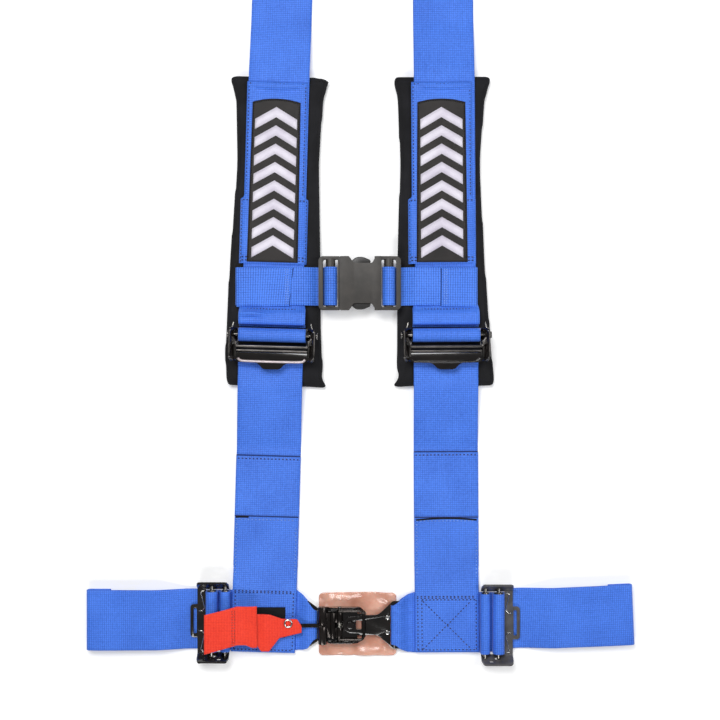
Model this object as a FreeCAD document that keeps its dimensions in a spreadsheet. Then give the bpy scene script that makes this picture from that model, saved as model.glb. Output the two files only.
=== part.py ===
"""Four-point latch-and-link racing harness in 3-inch webbing, laid out flat.

Millimetres, +Z up from the floor it lies on, +Y towards the shoulder anchors, and the
lap belts along X. Every place along Y is measured from the buckle line, which crosses
the latch; its origin sits at line_x, line_y in the part's frame.
"""
import FreeCAD, Part
import math
import os
import re
import Sketcher
from FreeCAD import Placement, Rotation, Vector

DIMENSIONS = {
    # whole harness
    "line_y": -412.9, "line_x": -0.7, "fit_gap": 0.3, "web_thick": 1.5,
    # webbing widths
    "shoulder_web": 73.8, "lower_web": 78.5, "lap_web": 73.5, "sternum_web": 46.5,
    "anchor_web": 50,
    # stack over the pad, from the floor up
    "pad_thick": 12, "under_level": 12.95, "strap_level": 14.85, "sleeve_low": 16,
    "sleeve_thick": 1, "patch_low": 17.3, "patch_thick": 0.7, "sternum_level": 16.7,
    "floor_level": 0.95, "second_level": 2.65, "third_level": 4.55, "fourth_level": 6.35,
    # shoulder pads and what is sewn to them
    "pad_top": 670.5, "pad_bottom": 295, "sleeve_top": 663, "sleeve_seam": 522,
    "sleeve_bottom": 442.5, "patch_top": 638.5, "patch_bottom": 444.5, "patch_arch": 3.5,
    "patch_half": 31, "patch_top_half": 29, "left_sleeve_shift": -0.8,
    "right_sleeve_shift": -3.7, "left_patch_shift": -1.2, "right_patch_shift": -4,
    # lower straps
    "seam_low": 134, "junction_bottom": -30.5,
    # sternum strap and its side-release buckle
    "sternum_y": 414.7, "buckle_x": -0.4, "buckle_y": 418.6, "buckle_low": 12.7,
    "buckle_high": 25.7, "buckle_half": 32.5, "buckle_end": 49.8, "housing_left": -24.1,
    "waist_half": 24.3, "loop_bar": 5.5, "ladder_x": 35.2, "ladder_radius": 6.2,
    "sternum_fold_left": -150.2, "sternum_fold_right": 141.9,
    # adjusters: one kind at the shoulders, one at the laps
    "shoulder_bar_y": 356, "shoulder_bar_level": 24, "lap_bar_level": 11,
    "shoulder_bar": 6.5, "lap_bar": 5.4, "pin_radius": 2.4, "bar_travel": 3,
    "lap_travel": 2.5,
    "shoulder_inner": 42, "shoulder_tip": 52, "lap_inner": 39, "lap_tip": 49.4,
    "lap_pin_end": 46, "shoulder_shift": 1.8,
    "flange_low": -6.4, "flange_thick": 2.2, "flange_top": 9.5,
    "lap_bar_spacing": 16.3, "lap_fixed_bar": 4.2, "loop_bar_a": 26, "loop_bar_drop": -5.8,
    "loop_bar_radius": 3, "cross_rod_a": 19, "cross_rod": 1.6, "bail_a": 13.9,
    "bail_rod": 1.5, "bail_half": 43.2,
    "left_lock_x": -180.4, "right_lock_x": 168.6, "left_lap_y": 8, "right_lap_y": 5.2,
    "left_belt_y": 9.8, "right_belt_y": 9.6, "lap_fold": 332, "fold_level": 13.5, "return_level": 4.4,
    # latch and link
    "latch_y": 3, "base_low": 3.2, "base_thick": 2.2, "rail_half": 21.8, "rail_top": 13,
    "pin_x": -25, "pin_level": 9, "latch_bar_x": -59,
    "barrel_x": -45.5, "barrel_level": 10.8, "barrel_radius": 5.2, "barrel_half": 22.6,
    "link_low": 5.7, "link_thick": 2.6, "link_bar_x": 43.6, "nose_x": -9.8,
    "bail_bar_x": 4.5, "bail_level": 11.2, "latch_web_half": 16.5, "link_web_half": 24,
    # anchor brackets
    "bracket_half": 47, "bracket_thick": 3, "bracket_bar": 5, "bolt_radius": 5.75,
    "bracket_length": 58, "bracket_eye": 16, "bracket_level": 4.9, "bracket_loop": 3.95,
    "small_bracket_half": 33, "shoulder_bracket_y": 812, "lap_bracket_x": 290,
}

doc = FreeCAD.newDocument("RacingHarness")
sheet = doc.addObject("Spreadsheet::Sheet", "Dims")
for row, (alias, number) in enumerate(DIMENSIONS.items(), start=1):
    sheet.set(f"A{row}", alias)
    sheet.set(f"B{row}", str(number))
    sheet.setAlias(f"B{row}", alias)
doc.recompute()

SUBPARTS = []
ALONG = Rotation(Vector(1, 1, 1), 120)      # sketch x, y lie along part Y, Z
ACROSS = Rotation(Vector(1, 0, 0), 90)      # sketch x, y lie along part X, Z
FLAT = Rotation()                           # sketch x, y lie along part X, Y


# ---------------------------------------------------------------- drawing helpers
def bound(expression):
    """The expression with each sheet alias written as a reference to the sheet."""
    return re.sub(r"\b([a-z]\w*)\b", r"Dims.\1", str(expression))


def size(expression):
    """The expression's present value in millimetres."""
    found = sheet.evalExpression(bound(expression))
    return float(getattr(found, "Value", found))


def pin_down(sketch, geometry, end, corner):
    """Tie a sketch point to the sheet through its two distances from the origin."""
    for kind, expression in zip(("DistanceX", "DistanceY"), corner):
        made = Sketcher.Constraint(kind, -1, 1, geometry, end, size(expression))
        index = sketch.addConstraint(made)
        sketch.setExpression(f"Constraints[{index}]", bound(expression))


def round_corner(sketch, before, after, corner, points, cut):
    """Join two lines by a tangent arc whose radius is bound to the sheet."""
    previous, here, following = points
    radius = size(corner[2])
    into = (here - previous).normalize()
    out = (following - here).normalize()
    left_turn = into.x * out.y - into.y * out.x > 0
    side = 1 if left_turn else -1
    start = here - into * cut
    stop = here + out * cut
    centre = start + Vector(-into.y, into.x, 0) * (radius * side)
    first = math.atan2(start.y - centre.y, start.x - centre.x)
    last = math.atan2(stop.y - centre.y, stop.x - centre.x)
    if not left_turn:
        first, last = last, first
    if last < first:
        last += 2 * math.pi
    circle = Part.Circle(centre, Vector(0, 0, 1), radius)
    arc = sketch.addGeometry(Part.ArcOfCircle(circle, first, last), False)
    near, far = (1, 2) if left_turn else (2, 1)
    sketch.addConstraint(Sketcher.Constraint("Tangent", before, 2, arc, near))
    sketch.addConstraint(Sketcher.Constraint("Tangent", arc, far, after, 1))
    index = sketch.addConstraint(Sketcher.Constraint("Radius", arc, radius))
    sketch.setExpression(f"Constraints[{index}]", bound(corner[2]))
    mark = sketch.addGeometry(Part.Point(here), True)
    sketch.addConstraint(Sketcher.Constraint("PointOnObject", mark, 1, before))
    sketch.addConstraint(Sketcher.Constraint("PointOnObject", mark, 1, after))
    pin_down(sketch, mark, 1, corner)


def draw(sketch, corners, closed):
    """Draw straight runs through corners (x, y) or (x, y, radius), all as expressions."""
    points = [Vector(size(corner[0]), size(corner[1]), 0) for corner in corners]
    count = len(points)
    cuts = []
    for index, corner in enumerate(corners):
        cut = 0.0
        if len(corner) > 2:
            back = points[index - 1] - points[index]
            ahead = points[(index + 1) % count] - points[index]
            turn = math.pi - back.getAngle(ahead)
            cut = size(corner[2]) * math.tan(turn / 2)
        cuts.append(cut)
    lines = []
    for index in range(count if closed else count - 1):
        start = points[index]
        stop = points[(index + 1) % count]
        way = (stop - start).normalize()
        run = Part.LineSegment(start + way * cuts[index],
                               stop - way * cuts[(index + 1) % count])
        lines.append(sketch.addGeometry(run, False))
    if not closed:
        pin_down(sketch, lines[0], 1, corners[0])
        pin_down(sketch, lines[-1], 2, corners[-1])
    for index in range(0 if closed else 1, count if closed else count - 1):
        before = lines[index - 1]
        after = lines[index]
        if cuts[index]:
            trio = (points[index - 1], points[index], points[(index + 1) % count])
            round_corner(sketch, before, after, corners[index], trio, cuts[index])
        else:
            sketch.addConstraint(Sketcher.Constraint("Coincident", before, 2, after, 1))
            pin_down(sketch, after, 1, corners[index])


def origin_plane(body, role):
    return next(item for item in body.Origin.OriginFeatures if item.Role == role)


def mirrored(corners):
    """A closed outline from its half with x > 0, listed from its first to last corner."""
    other = [("-(%s)" % corner[0],) + tuple(corner[1:]) for corner in reversed(corners)]
    return corners + other


# ---------------------------------------------------------------- solid helpers
def plate(name, outlines, low, thick, role="XY_Plane"):
    """A flat plate: the first outline is its edge, the others are holes through it."""
    body = doc.addObject("PartDesign::Body", name)
    sketch = body.newObject("Sketcher::SketchObject", name + "_outline")
    sketch.AttachmentSupport = [(origin_plane(body, role), "")]
    sketch.MapMode = "FlatFace"
    sketch.setExpression(".AttachmentOffset.Base.z", bound(low))
    for outline in outlines:
        draw(sketch, outline, True)
    pad = body.newObject("PartDesign::Pad", name + "_pad")
    pad.Profile = sketch
    pad.setExpression("Length", bound(thick))
    return body


def turned(name, half_profile):
    """A bar turned about X: half_profile lists (x, radius) outwards from the middle."""
    body = doc.addObject("PartDesign::Body", name)
    sketch = body.newObject("Sketcher::SketchObject", name + "_profile")
    sketch.AttachmentSupport = [(origin_plane(body, "XY_Plane"), "")]
    sketch.MapMode = "FlatFace"
    steps = [(half_profile[-1][0], "0")]
    steps += list(reversed(half_profile))
    steps += [("-(%s)" % place, radius) for place, radius in half_profile]
    steps += [("-(%s)" % half_profile[-1][0], "0")]
    draw(sketch, steps, True)
    spin = body.newObject("PartDesign::Revolution", name + "_turn")
    spin.Profile = sketch
    spin.ReferenceAxis = (sketch, ["H_Axis"])
    spin.Angle = 360
    return body


def ribbon(name, route, rotation, width, shift="0"):
    """Webbing that follows a route in its thickness plane, centred across its width."""
    sketch = doc.addObject("Sketcher::SketchObject", name + "_route")
    sketch.Placement = Placement(Vector(), rotation)
    draw(sketch, route, False)
    section = doc.addObject("Part::Offset2D", name + "_section")
    section.Source = sketch
    section.Mode = "Pipe"
    section.Fill = True
    section.setExpression("Value", bound("web_thick / 2"))
    doc.recompute()
    made = doc.addObject("Part::Extrusion", name)
    made.Base = section
    made.DirMode = "Custom"
    made.Dir = rotation.multVec(Vector(0, 0, 1))
    made.setExpression("LengthFwd", bound(f"({width}) / 2 + {shift}"))
    made.setExpression("LengthRev", bound(f"({width}) / 2 - ({shift})"))
    made.Solid = True
    return made


def prism(name, outline, rotation, forward, back):
    """A closed outline extruded both ways from its own plane."""
    sketch = doc.addObject("Sketcher::SketchObject", name + "_outline")
    sketch.Placement = Placement(Vector(), rotation)
    draw(sketch, outline, True)
    made = doc.addObject("Part::Extrusion", name)
    made.Base = sketch
    made.DirMode = "Custom"
    made.Dir = rotation.multVec(Vector(0, 0, 1))
    made.setExpression("LengthFwd", bound(forward))
    made.setExpression("LengthRev", bound(back))
    made.Solid = True
    return made


def rod(name, place, direction, radius, length):
    """A round rod that starts at place, a triple of expressions."""
    made = doc.addObject("Part::Cylinder", name)
    made.Placement.Rotation = Rotation(Vector(0, 0, 1), direction)
    for letter, expression in zip("xyz", place):
        made.setExpression(f".Placement.Base.{letter}", bound(expression))
    made.setExpression("Radius", bound(radius))
    made.setExpression("Height", bound(length))
    return made


def wire_rod(name, route, rotation, level, radius):
    """A bent rod: a circle swept along a route in one plane."""
    sketch = doc.addObject("Sketcher::SketchObject", name + "_route")
    lift = rotation.multVec(Vector(0, 0, size(level)))
    sketch.Placement = Placement(lift, rotation)
    draw(sketch, route, False)
    doc.recompute()
    first = Vector(size(route[0][0]), size(route[0][1]), 0)
    second = Vector(size(route[1][0]), size(route[1][1]), 0)
    circle = doc.addObject("Part::Circle", name + "_ring")
    circle.setExpression("Radius", bound(radius))
    way = rotation.multVec(second - first)
    circle.Placement = Placement(rotation.multVec(first) + lift,
                                 Rotation(Vector(0, 0, 1), way))
    made = doc.addObject("Part::Sweep", name)
    made.Sections = [circle]
    made.Spine = (sketch, ["Edge%d" % (n + 1) for n in range(len(sketch.Shape.Edges))])
    made.Solid = True
    made.Frenet = True
    return made


def coil(name, place, direction, radius, wire, pitch, length):
    """A helical spring that starts at place and winds along direction."""
    helix = doc.addObject("Part::Helix", name + "_helix")
    helix.setExpression("Radius", bound(radius))
    helix.setExpression("Pitch", bound(pitch))
    helix.setExpression("Height", bound(length))
    doc.recompute()
    circle = doc.addObject("Part::Circle", name + "_ring")
    circle.setExpression("Radius", bound(wire))
    circle.Placement = Placement(Vector(size(radius), 0, 0), Rotation(Vector(1, 0, 0), 90))
    made = doc.addObject("Part::Sweep", name)
    made.Sections = [circle]
    made.Spine = (helix, ["Edge%d" % (n + 1) for n in range(len(helix.Shape.Edges))])
    made.Solid = True
    made.Frenet = True
    middle = Vector(*(size(expression) for expression in place))
    made.Placement = Placement(middle, Rotation(Vector(0, 0, 1), direction))
    return made


def fuse(name, pieces):
    made = doc.addObject("Part::MultiFuse", name)
    made.Shapes = pieces
    return made


def cut(name, base, tool):
    made = doc.addObject("Part::Cut", name)
    made.Base = base
    made.Tool = tool
    return made


def common(name, first, second):
    made = doc.addObject("Part::Common", name)
    made.Base = first
    made.Tool = second
    return made


def group(name, pieces):
    """Identical separate solids that share one sub-part."""
    made = doc.addObject("Part::Compound", name)
    made.Links = pieces
    return made


def keep(label, made, place):
    """Give a finished sub-part its label and its place in the harness."""
    if any(path.lstrip(".").startswith("Placement") for path, _ in made.ExpressionEngine):
        made = group(made.Name + "_seated", [made])
    made.Label = label
    made.Placement = place.multiply(made.Placement)
    SUBPARTS.append(made)


def at(x, y, z=0.0, turn=0.0):
    """A placement in the part's frame, x and y measured from the buckle line's origin."""
    base = Vector(x + size("line_x"), y + size("line_y"), z)
    return Placement(base, Rotation(Vector(0, 0, 1), turn))


# ---------------------------------------------------------------- shoulder assemblies
def shoulder_strap(side, place):
    """Runs from its anchor loop over the pad and down to the adjuster's lock bar."""
    loop = "bracket_loop"
    bar = "shoulder_bracket_y"
    top = f"bracket_level + {loop}"
    foot = "shoulder_bar_level - 5.5"
    route = [
        (f"{bar} - 27", "second_level"), (f"{bar} - 10", "second_level", 3),
        (f"{bar} - 3", top, 3), (f"{bar} + {loop}", top, 3.9),
        (f"{bar} + {loop}", "floor_level", 3.9), ("pad_top + 70", "floor_level", 60),
        ("pad_top + 2", "strap_level", 60), ("sternum_y - 28", "strap_level", 15),
        ("sternum_y - 40", foot, 10), ("shoulder_bar_y + 9.8 + bar_travel", foot),
    ]
    made = ribbon(f"ShoulderStrap_{side}", route, ALONG, "shoulder_web")
    keep(f"shoulder_strap_{side}", made, place)


def shoulder_pad(side, place, hand, inner, outer):
    """Foam pad, dog-bone in plan; inner and outer list its half-widths from top to bottom."""
    heights = ["pad_top", "pad_top - 26", "pad_top - 105", "pad_bottom + 145",
               "pad_bottom + 40", "pad_bottom"]
    radii = [3, 60, 250, 250, 80, 4]
    edge = list(zip(inner, heights, radii))
    edge += [(-half, height, radius)
             for half, height, radius in reversed(list(zip(outer, heights, radii)))]
    outline = [(f"({half}) * {-hand}", height, radius) for half, height, radius in edge]
    if hand > 0:
        outline.reverse()
    made = plate(f"ShoulderPad_{side}", [outline], "0", "pad_thick")
    keep(f"shoulder_pad_{side}", made, place)


def pad_sleeve(side, place):
    """Webbing sleeve sewn to the pad, a little wider below its cross seam."""
    half = [("41", "sleeve_bottom"), ("40.5", "sleeve_seam"), ("36.6", "sleeve_seam + 1.5"),
            ("36.6", "sleeve_top")]
    outline = [(f"({corner[0]}) + {side}_sleeve_shift", corner[1])
               for corner in mirrored(half)]
    made = plate(f"PadSleeve_{side}", [outline], "sleeve_low", "sleeve_thick")
    keep(f"pad_sleeve_{side}", made, place)


def pad_patch(side, place):
    """Satin patch sewn on the sleeve, with a shallow arched top."""
    half = [("patch_half", "patch_bottom", 1), ("patch_top_half", "patch_top - 1", 1),
            ("patch_half / 3", "patch_top + patch_arch", 40)]
    outline = [(f"({corner[0]}) + {side}_patch_shift",) + corner[1:]
               for corner in mirrored(half)]
    made = plate(f"PadPatch_{side}", [outline], "patch_low", "patch_thick")
    keep(f"pad_patch_{side}", made, place)


def lower_strap(side, place):
    """From the adjuster's loop down over the pad's end to the junction at the buckle."""
    start = "shoulder_bar_y - 40.5"
    level = "shoulder_bar_level + loop_bar_drop - 4.05"
    route = [
        (start, level), ("pad_bottom", level, 40), ("pad_bottom - 75", "floor_level", 40),
        ("72", "floor_level", 30), ("46", "third_level", 30),
        ("junction_bottom", "third_level"),
    ]
    made = ribbon(f"LowerStrap_{side}", route, ALONG, "lower_web")
    keep(f"lower_strap_{side}", made, place)


def junction_overlay(side, place):
    """The webbing's folded-back end, sewn over the lower strap and the buckle strap."""
    route = [
        ("seam_low", "second_level"), ("72", "second_level", 30),
        ("46", "fourth_level", 30), ("junction_bottom", "fourth_level"),
    ]
    made = ribbon(f"JunctionOverlay_{side}", route, ALONG, "lower_web - 1")
    keep(f"junction_overlay_{side}", made, place)


def shoulder_side(side, middle, tilt, hand, inner, outer):
    """Everything along one shoulder strap; hand is -1 on the left and 1 on the right."""
    place = at(middle, 0, 0, tilt)
    shoulder_strap(side, place)
    shoulder_pad(side, place, hand, inner, outer)
    pad_sleeve(side, place)
    pad_patch(side, place)
    lower_strap(side, place)
    junction_overlay(side, place)
    shift = size("shoulder_shift") if hand < 0 else 0.0
    seat = Placement(Vector(shift, size("shoulder_bar_y"), size("shoulder_bar_level")),
                     Rotation(Vector(0, 0, 1), 180))
    shoulder_adjuster(f"shoulder_adjuster_{side}", place.multiply(seat))
    lug = Placement(Vector(0, size("shoulder_bracket_y"), 0), Rotation())
    bracket(f"shoulder_bracket_{side}", "bracket_half", "shoulder_web",
            place.multiply(lug))


# ---------------------------------------------------------------- adjusters
# In an adjuster's own frame the lock bar lies along X through the origin, Z is up,
# and Y runs from the lock bar towards the fixed bar.
def flanges(name, inner, tip, start, end, plate_end, slot_from, slot_to, bore=None):
    """Channel with outward-leaning flanges, open in the middle except at its plate."""
    low = "flange_low"
    shelf = "flange_low + flange_thick"
    section = mirrored([(f"{inner} + 1.4", low, 2), (tip, "flange_top"),
                        (f"{tip} - 2.4", "flange_top"), (inner, shelf, 1)])
    channel = prism(name + "_channel", section, ACROSS, f"-({start})", end)
    side_view = [(start, low), (end, low), (f"{end} + 0.5", "2", 6),
                 (f"{end} - 3", "flange_top", 4), (start, "flange_top", 5)]
    trimmed = common(name + "_trimmed", channel,
                     prism(name + "_side", side_view, ALONG, "60", "60"))
    window = mirrored([(f"{inner} - 0.6", plate_end), (f"{inner} - 0.6", f"{end} + 5")])
    opened = cut(name + "_opened", trimmed, prism(name + "_window", window, FLAT, "20", "20"))
    slot = [(slot_from, "-2.7", 2.6), (slot_to, "-2.7", 2.6), (slot_to, "2.7", 2.6),
            (slot_from, "2.7", 2.6)]
    slotted = cut(name + "_slotted", opened, prism(name + "_slot", slot, ALONG, "60", "60"))
    eye = [("6.5", "2.8", 1.4), ("12", "2.8", 1.4), ("12", "6.6", 1.4), ("6.5", "6.6", 1.4)]
    pierced = cut(name + "_pierced", slotted, prism(name + "_eye", eye, ALONG, "60", "60"))
    if bore is None:
        return pierced
    drill = rod(name + "_bore", ("-60", bore, "0"), Vector(1, 0, 0), "pin_radius + 0.1", "120")
    return cut(name + "_bored", pierced, drill)


def lock_bar(node, place, radius, inner, end, knob=None):
    """Sliding bar that pinches the webbing, with stepped pins and, outside, round knobs."""
    profile = [(f"{inner} - 1.2", radius), (f"{inner} - 1.2", "pin_radius"),
               (end, "pin_radius")]
    if knob is not None:
        profile += [(end, knob), (f"{end} + 2.2", knob)]
    made = turned("".join(node.title().split("_")) + "Bar", profile)
    keep(f"{node}_lock_bar", made, place)


def strap_wrap(node, place, radius, width, low):
    """The adjusting strap's turn over the lock bar, which tilts with the adjuster."""
    reach = f"({radius} + fit_gap + web_thick / 2)"
    route = [(f"-{reach}", "-5"), (f"-{reach}", reach, f"{reach} - 0.1"),
             (reach, reach, f"{reach} - 0.1"), (reach, low, 2), ("-1.5", low)]
    made = ribbon("".join(node.title().split("_")) + "Wrap", route, ALONG, width)
    keep(f"{node}_strap_wrap", made, place)


def shoulder_adjuster(node, place):
    name = "".join(node.title().split("_"))
    channel = flanges(name, "shoulder_inner", "shoulder_tip", "-8.5", "31.5", "-20",
                      "-2.8 - bar_travel", "2.8")
    half = [("46", "21.5", 1), ("46", "28.5", 1), ("40", "33.3", 3), ("17", "33.7", 10),
            ("10", "41.4", 8)]
    band = prism(name + "_band", mirrored(half), FLAT, "1.7", "0.5")
    half_length = "shoulder_inner + 1"
    loop = rod(name + "_loop_bar", (f"-({half_length})", "loop_bar_a", "loop_bar_drop"),
               Vector(1, 0, 0), "loop_bar_radius", f"2 * ({half_length})")
    cross = rod(name + "_cross_rod", ("-45.6", "cross_rod_a", "1"), Vector(1, 0, 0),
                "cross_rod", "91.2")
    bend = [("-47.8", "3.5"), ("-bail_half", "8", 4), ("-bail_half", "bail_a", 4),
            ("bail_half", "bail_a", 4), ("bail_half", "8", 4), ("47.8", "3.5")]
    bail = wire_rod(name + "_bail", bend, FLAT, "4.6", "bail_rod")
    keep(f"{node}_frame", fuse(name + "_frame", [channel, band, loop, cross, bail]), place)
    lock_bar(node, place, "shoulder_bar", "shoulder_inner", "shoulder_tip + 0.4", "4.1")
    strap_wrap(node, place, "shoulder_bar", "shoulder_web", "-9.65")

    springs = [coil(f"{name}_spring_{number}", (start, "0", "0"), Vector(way, 0, 0),
                    "3.2", "0.55", "1.2", "1.2")
               for number, start, way in ((1, "-50.2", -1), (2, "50.2", 1))]
    keep(f"{node}_springs", group(name + "_springs", springs), place)

    reach = "(loop_bar_radius + fit_gap + web_thick / 2)"
    high = f"loop_bar_drop + {reach}"
    low = f"loop_bar_drop - {reach}"
    route = [("38", f"{low} + 1.7"), ("34", f"{low} + 1.7", 3), ("29.5", high, 3),
             (f"loop_bar_a - {reach}", high, 3.9), (f"loop_bar_a - {reach}", low, 3.9),
             ("38", low)]
    made = ribbon(name + "_loop", route, ALONG, "lower_web")
    keep(node.replace("shoulder_adjuster", "lower_strap_loop"), made, place)


def lap_adjuster(node, place):
    name = "".join(node.title().split("_"))
    channel = flanges(name, "lap_inner", "lap_tip", "-17.8", "21", "-7.4",
                      "-2.8", "2.8 + lap_travel", "lap_bar_spacing")
    outer = [("20", "-26.4", 4), ("20", "-17", 1)]
    slot = [("15.5", "-22.6", 1.5), ("15.5", "-18.6", 1.5)]
    grip = plate(name + "_grip", [mirrored(outer), mirrored(slot)], "flange_low",
                 "flange_thick")
    keep(f"{node}_frame", fuse(name + "_frame", [channel, grip]), place)
    lock_bar(node, place, "lap_bar", "lap_inner", "lap_pin_end")
    strap_wrap(node, place, "lap_bar", "lap_web", "floor_level - lap_bar_level")
    bar = turned(name + "_fixed", [("lap_inner - 0.8", "lap_fixed_bar"),
                                   ("lap_inner - 0.8", "pin_radius"),
                                   ("lap_tip - 2", "pin_radius")])
    shift = Placement(Vector(0, size("lap_bar_spacing"), 0), Rotation())
    keep(f"{node}_fixed_bar", bar, place.multiply(shift))
    springs = []
    for hand in (-1, 1):
        bend = [(f"{37 * hand}", "-9.6"), (f"{35 * hand}", "-13.8", 1.5),
                (f"{16 * hand}", "-9", 2), (f"{12 * hand}", "-12", 1.5),
                (f"{12 * hand}", "-16.5")]
        springs.append(wire_rod(f"{name}_spring_{hand + 2}", bend, FLAT,
                                "flange_low + flange_thick + 0.7", "0.6"))
    keep(f"{node}_springs", group(name + "_springs", springs), place)


# ---------------------------------------------------------------- anchor brackets
# In a bracket's own frame its webbing bar lies along X, and the bolt hole is towards +Y.
def bracket(node, half, web, place):
    """Bolt-in bracket: a webbing slot, a step down to the floor and an eye for a bolt."""
    name = "".join(node.title().split("_"))
    bar = "bracket_bar / 2"
    outline = mirrored([(half, f"-{bar}", 2), (half, "14", 5), ("bracket_eye + 1", "34", 12),
                        ("bracket_eye", "bracket_length", 15.5)])
    slot = mirrored([(f"{web} / 2 + 1", bar, 1), (f"{web} / 2 + 1", "9", 1)])
    blank = plate(name + "_blank", [outline, slot], "-2", "12")
    bolt = rod(name + "_bolt", ("0", "bracket_length - bracket_eye", "-5"), Vector(0, 0, 1),
               "bolt_radius", "20")
    half_thick = "bracket_thick / 2"
    step = [("-6", f"bracket_level - {half_thick}"), ("12", f"bracket_level - {half_thick}", 4),
            ("20", "0", 4), ("70", "0"), ("70", "bracket_thick"),
            ("20.8", "bracket_thick", 7), ("12.8", f"bracket_level + {half_thick}", 7),
            ("-6", f"bracket_level + {half_thick}")]
    profile = prism(name + "_step", step, ALONG, "60", "60")
    shaped = common(name + "_shaped", blank, profile)
    keep(node, cut(name + "_drilled", shaped, bolt), place)


# ---------------------------------------------------------------- lap belts
def lap_side(side, hand):
    """Lap belt, its adjuster and its folded-under end; hand is -1 left, 1 right."""
    lock = size(f"{side}_lock_x")
    tilt = 0 if hand < 0 else 2.4
    spot = at(lock, size(f"{side}_belt_y"), 0, tilt)
    square = at(lock, size(f"{side}_lap_y"))
    outward = size("lap_fold") - abs(lock)
    fold = f"{outward * hand}"
    start = f"{11.5 * hand}"
    bend = "(fold_level - return_level) / 2 - 0.1"
    route = [(start, "second_level"), (f"{30 * hand}", "second_level", 30),
             (f"{66 * hand}", "fold_level", 30), (fold, "fold_level", bend),
             (fold, "return_level", bend), (f"{(outward - 28) * hand}", "return_level")]
    strap = ribbon(f"LapStrap_{side}", route, ACROSS, "lap_web")
    keep(f"lap_strap_{side}", strap, spot)

    eye = f"{(outward - size('lap_fold') + size('lap_bracket_x')) * hand}"
    tip = f"({eye}) - bracket_loop * {hand}"
    high = "bracket_level + bracket_loop"
    route = [(f"({eye}) + 40 * {hand}", "floor_level"), (tip, "floor_level", 3.85),
             (tip, high, 3.85), (f"({eye}) + 4 * {hand}", high, 3),
             (f"({eye}) + 12 * {hand}", "second_level", 3),
             (f"({eye}) + 38 * {hand}", "second_level")]
    web = ribbon(f"AnchorWebbing_{side}", route, ACROSS, "anchor_web")
    keep(f"anchor_webbing_{side}", web, spot)
    lug = Placement(Vector(size(eye), 0, 0), Rotation(Vector(0, 0, 1), 90 * hand))
    bracket(f"lap_bracket_{side}", "small_bracket_half", "anchor_web", spot.multiply(lug))
    seat = Placement(Vector(0, 0, size("lap_bar_level")), Rotation(Vector(0, 0, 1), 90 * hand))
    lap_adjuster(f"lap_adjuster_{side}", square.multiply(seat))


def buckle_strap(side, hand, end, end_half, end_level, flare):
    """Doubled webbing from the lap adjuster's fixed bar to the latch's or link's bar."""
    bar = f"(({side}_lock_x) - lap_bar_spacing * {hand})"
    reach = "(lap_fixed_bar + fit_gap + web_thick / 2)"
    outer = f"{bar} + {reach} * {hand}"
    inner = f"{bar} - {reach} * {hand}"
    turn = 3.45
    top = f"{end_level} + 3.55"
    tip = f"{end} - 3.55 * {hand}"
    low = f"{end_level} - 3.55"
    route = [(f"{105 * hand}", "floor_level"), (outer, "floor_level", 4),
             (outer, f"lap_bar_level + {reach}", f"{reach} - 0.1"),
             (inner, f"lap_bar_level + {reach}", f"{reach} - 0.1"),
             (inner, "second_level", 1.4), (f"{end} + 16 * {hand}", "second_level", 10),
             (f"{end} + 5 * {hand}", top, 5), (tip, top, turn), (tip, low, turn),
             (f"{end} + 5 * {hand}", low, 5), (f"{end} + 16 * {hand}", "floor_level", 10),
             (f"{103 * hand}", "floor_level")]
    band = ribbon(f"BuckleStrap_{side}", route, ACROSS, "lap_web")
    drop = f"(latch_y - {side}_lap_y)"
    slope = f"{end} + {flare + 11} * {hand}"
    straight = f"{end} + {flare} * {hand}"
    waist = [(f"{bar} + 12 * {hand}", "-60"), (f"{bar} + 12 * {hand}", "60"),
             (slope, "60", 1), (straight, f"{drop} + {end_half}", 8),
             (f"{end} - 12 * {hand}", f"{drop} + {end_half}"),
             (f"{end} - 12 * {hand}", f"{drop} - {end_half}"),
             (straight, f"{drop} - {end_half}", 8), (slope, "-60", 1)]
    outline = prism(f"BuckleStrap_{side}_waist", waist, FLAT, "30", "5")
    made = common(f"BuckleStrap_{side}_shaped", band, outline)
    keep(f"buckle_strap_{side}", made, at(0, size(f"{side}_lap_y")))


# ---------------------------------------------------------------- latch and link
def buckle_guard():
    """Vinyl sheet that lies under the latch and keeps it off the wearer."""
    half = [("47.3", "-38.5", 4), ("47.3", "38.5", 4)]
    made = plate("BuckleGuard", [mirrored(half)], "0.2", "0.8")
    keep("buckle_guard", made, at(-2.9, 3.5))


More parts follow.
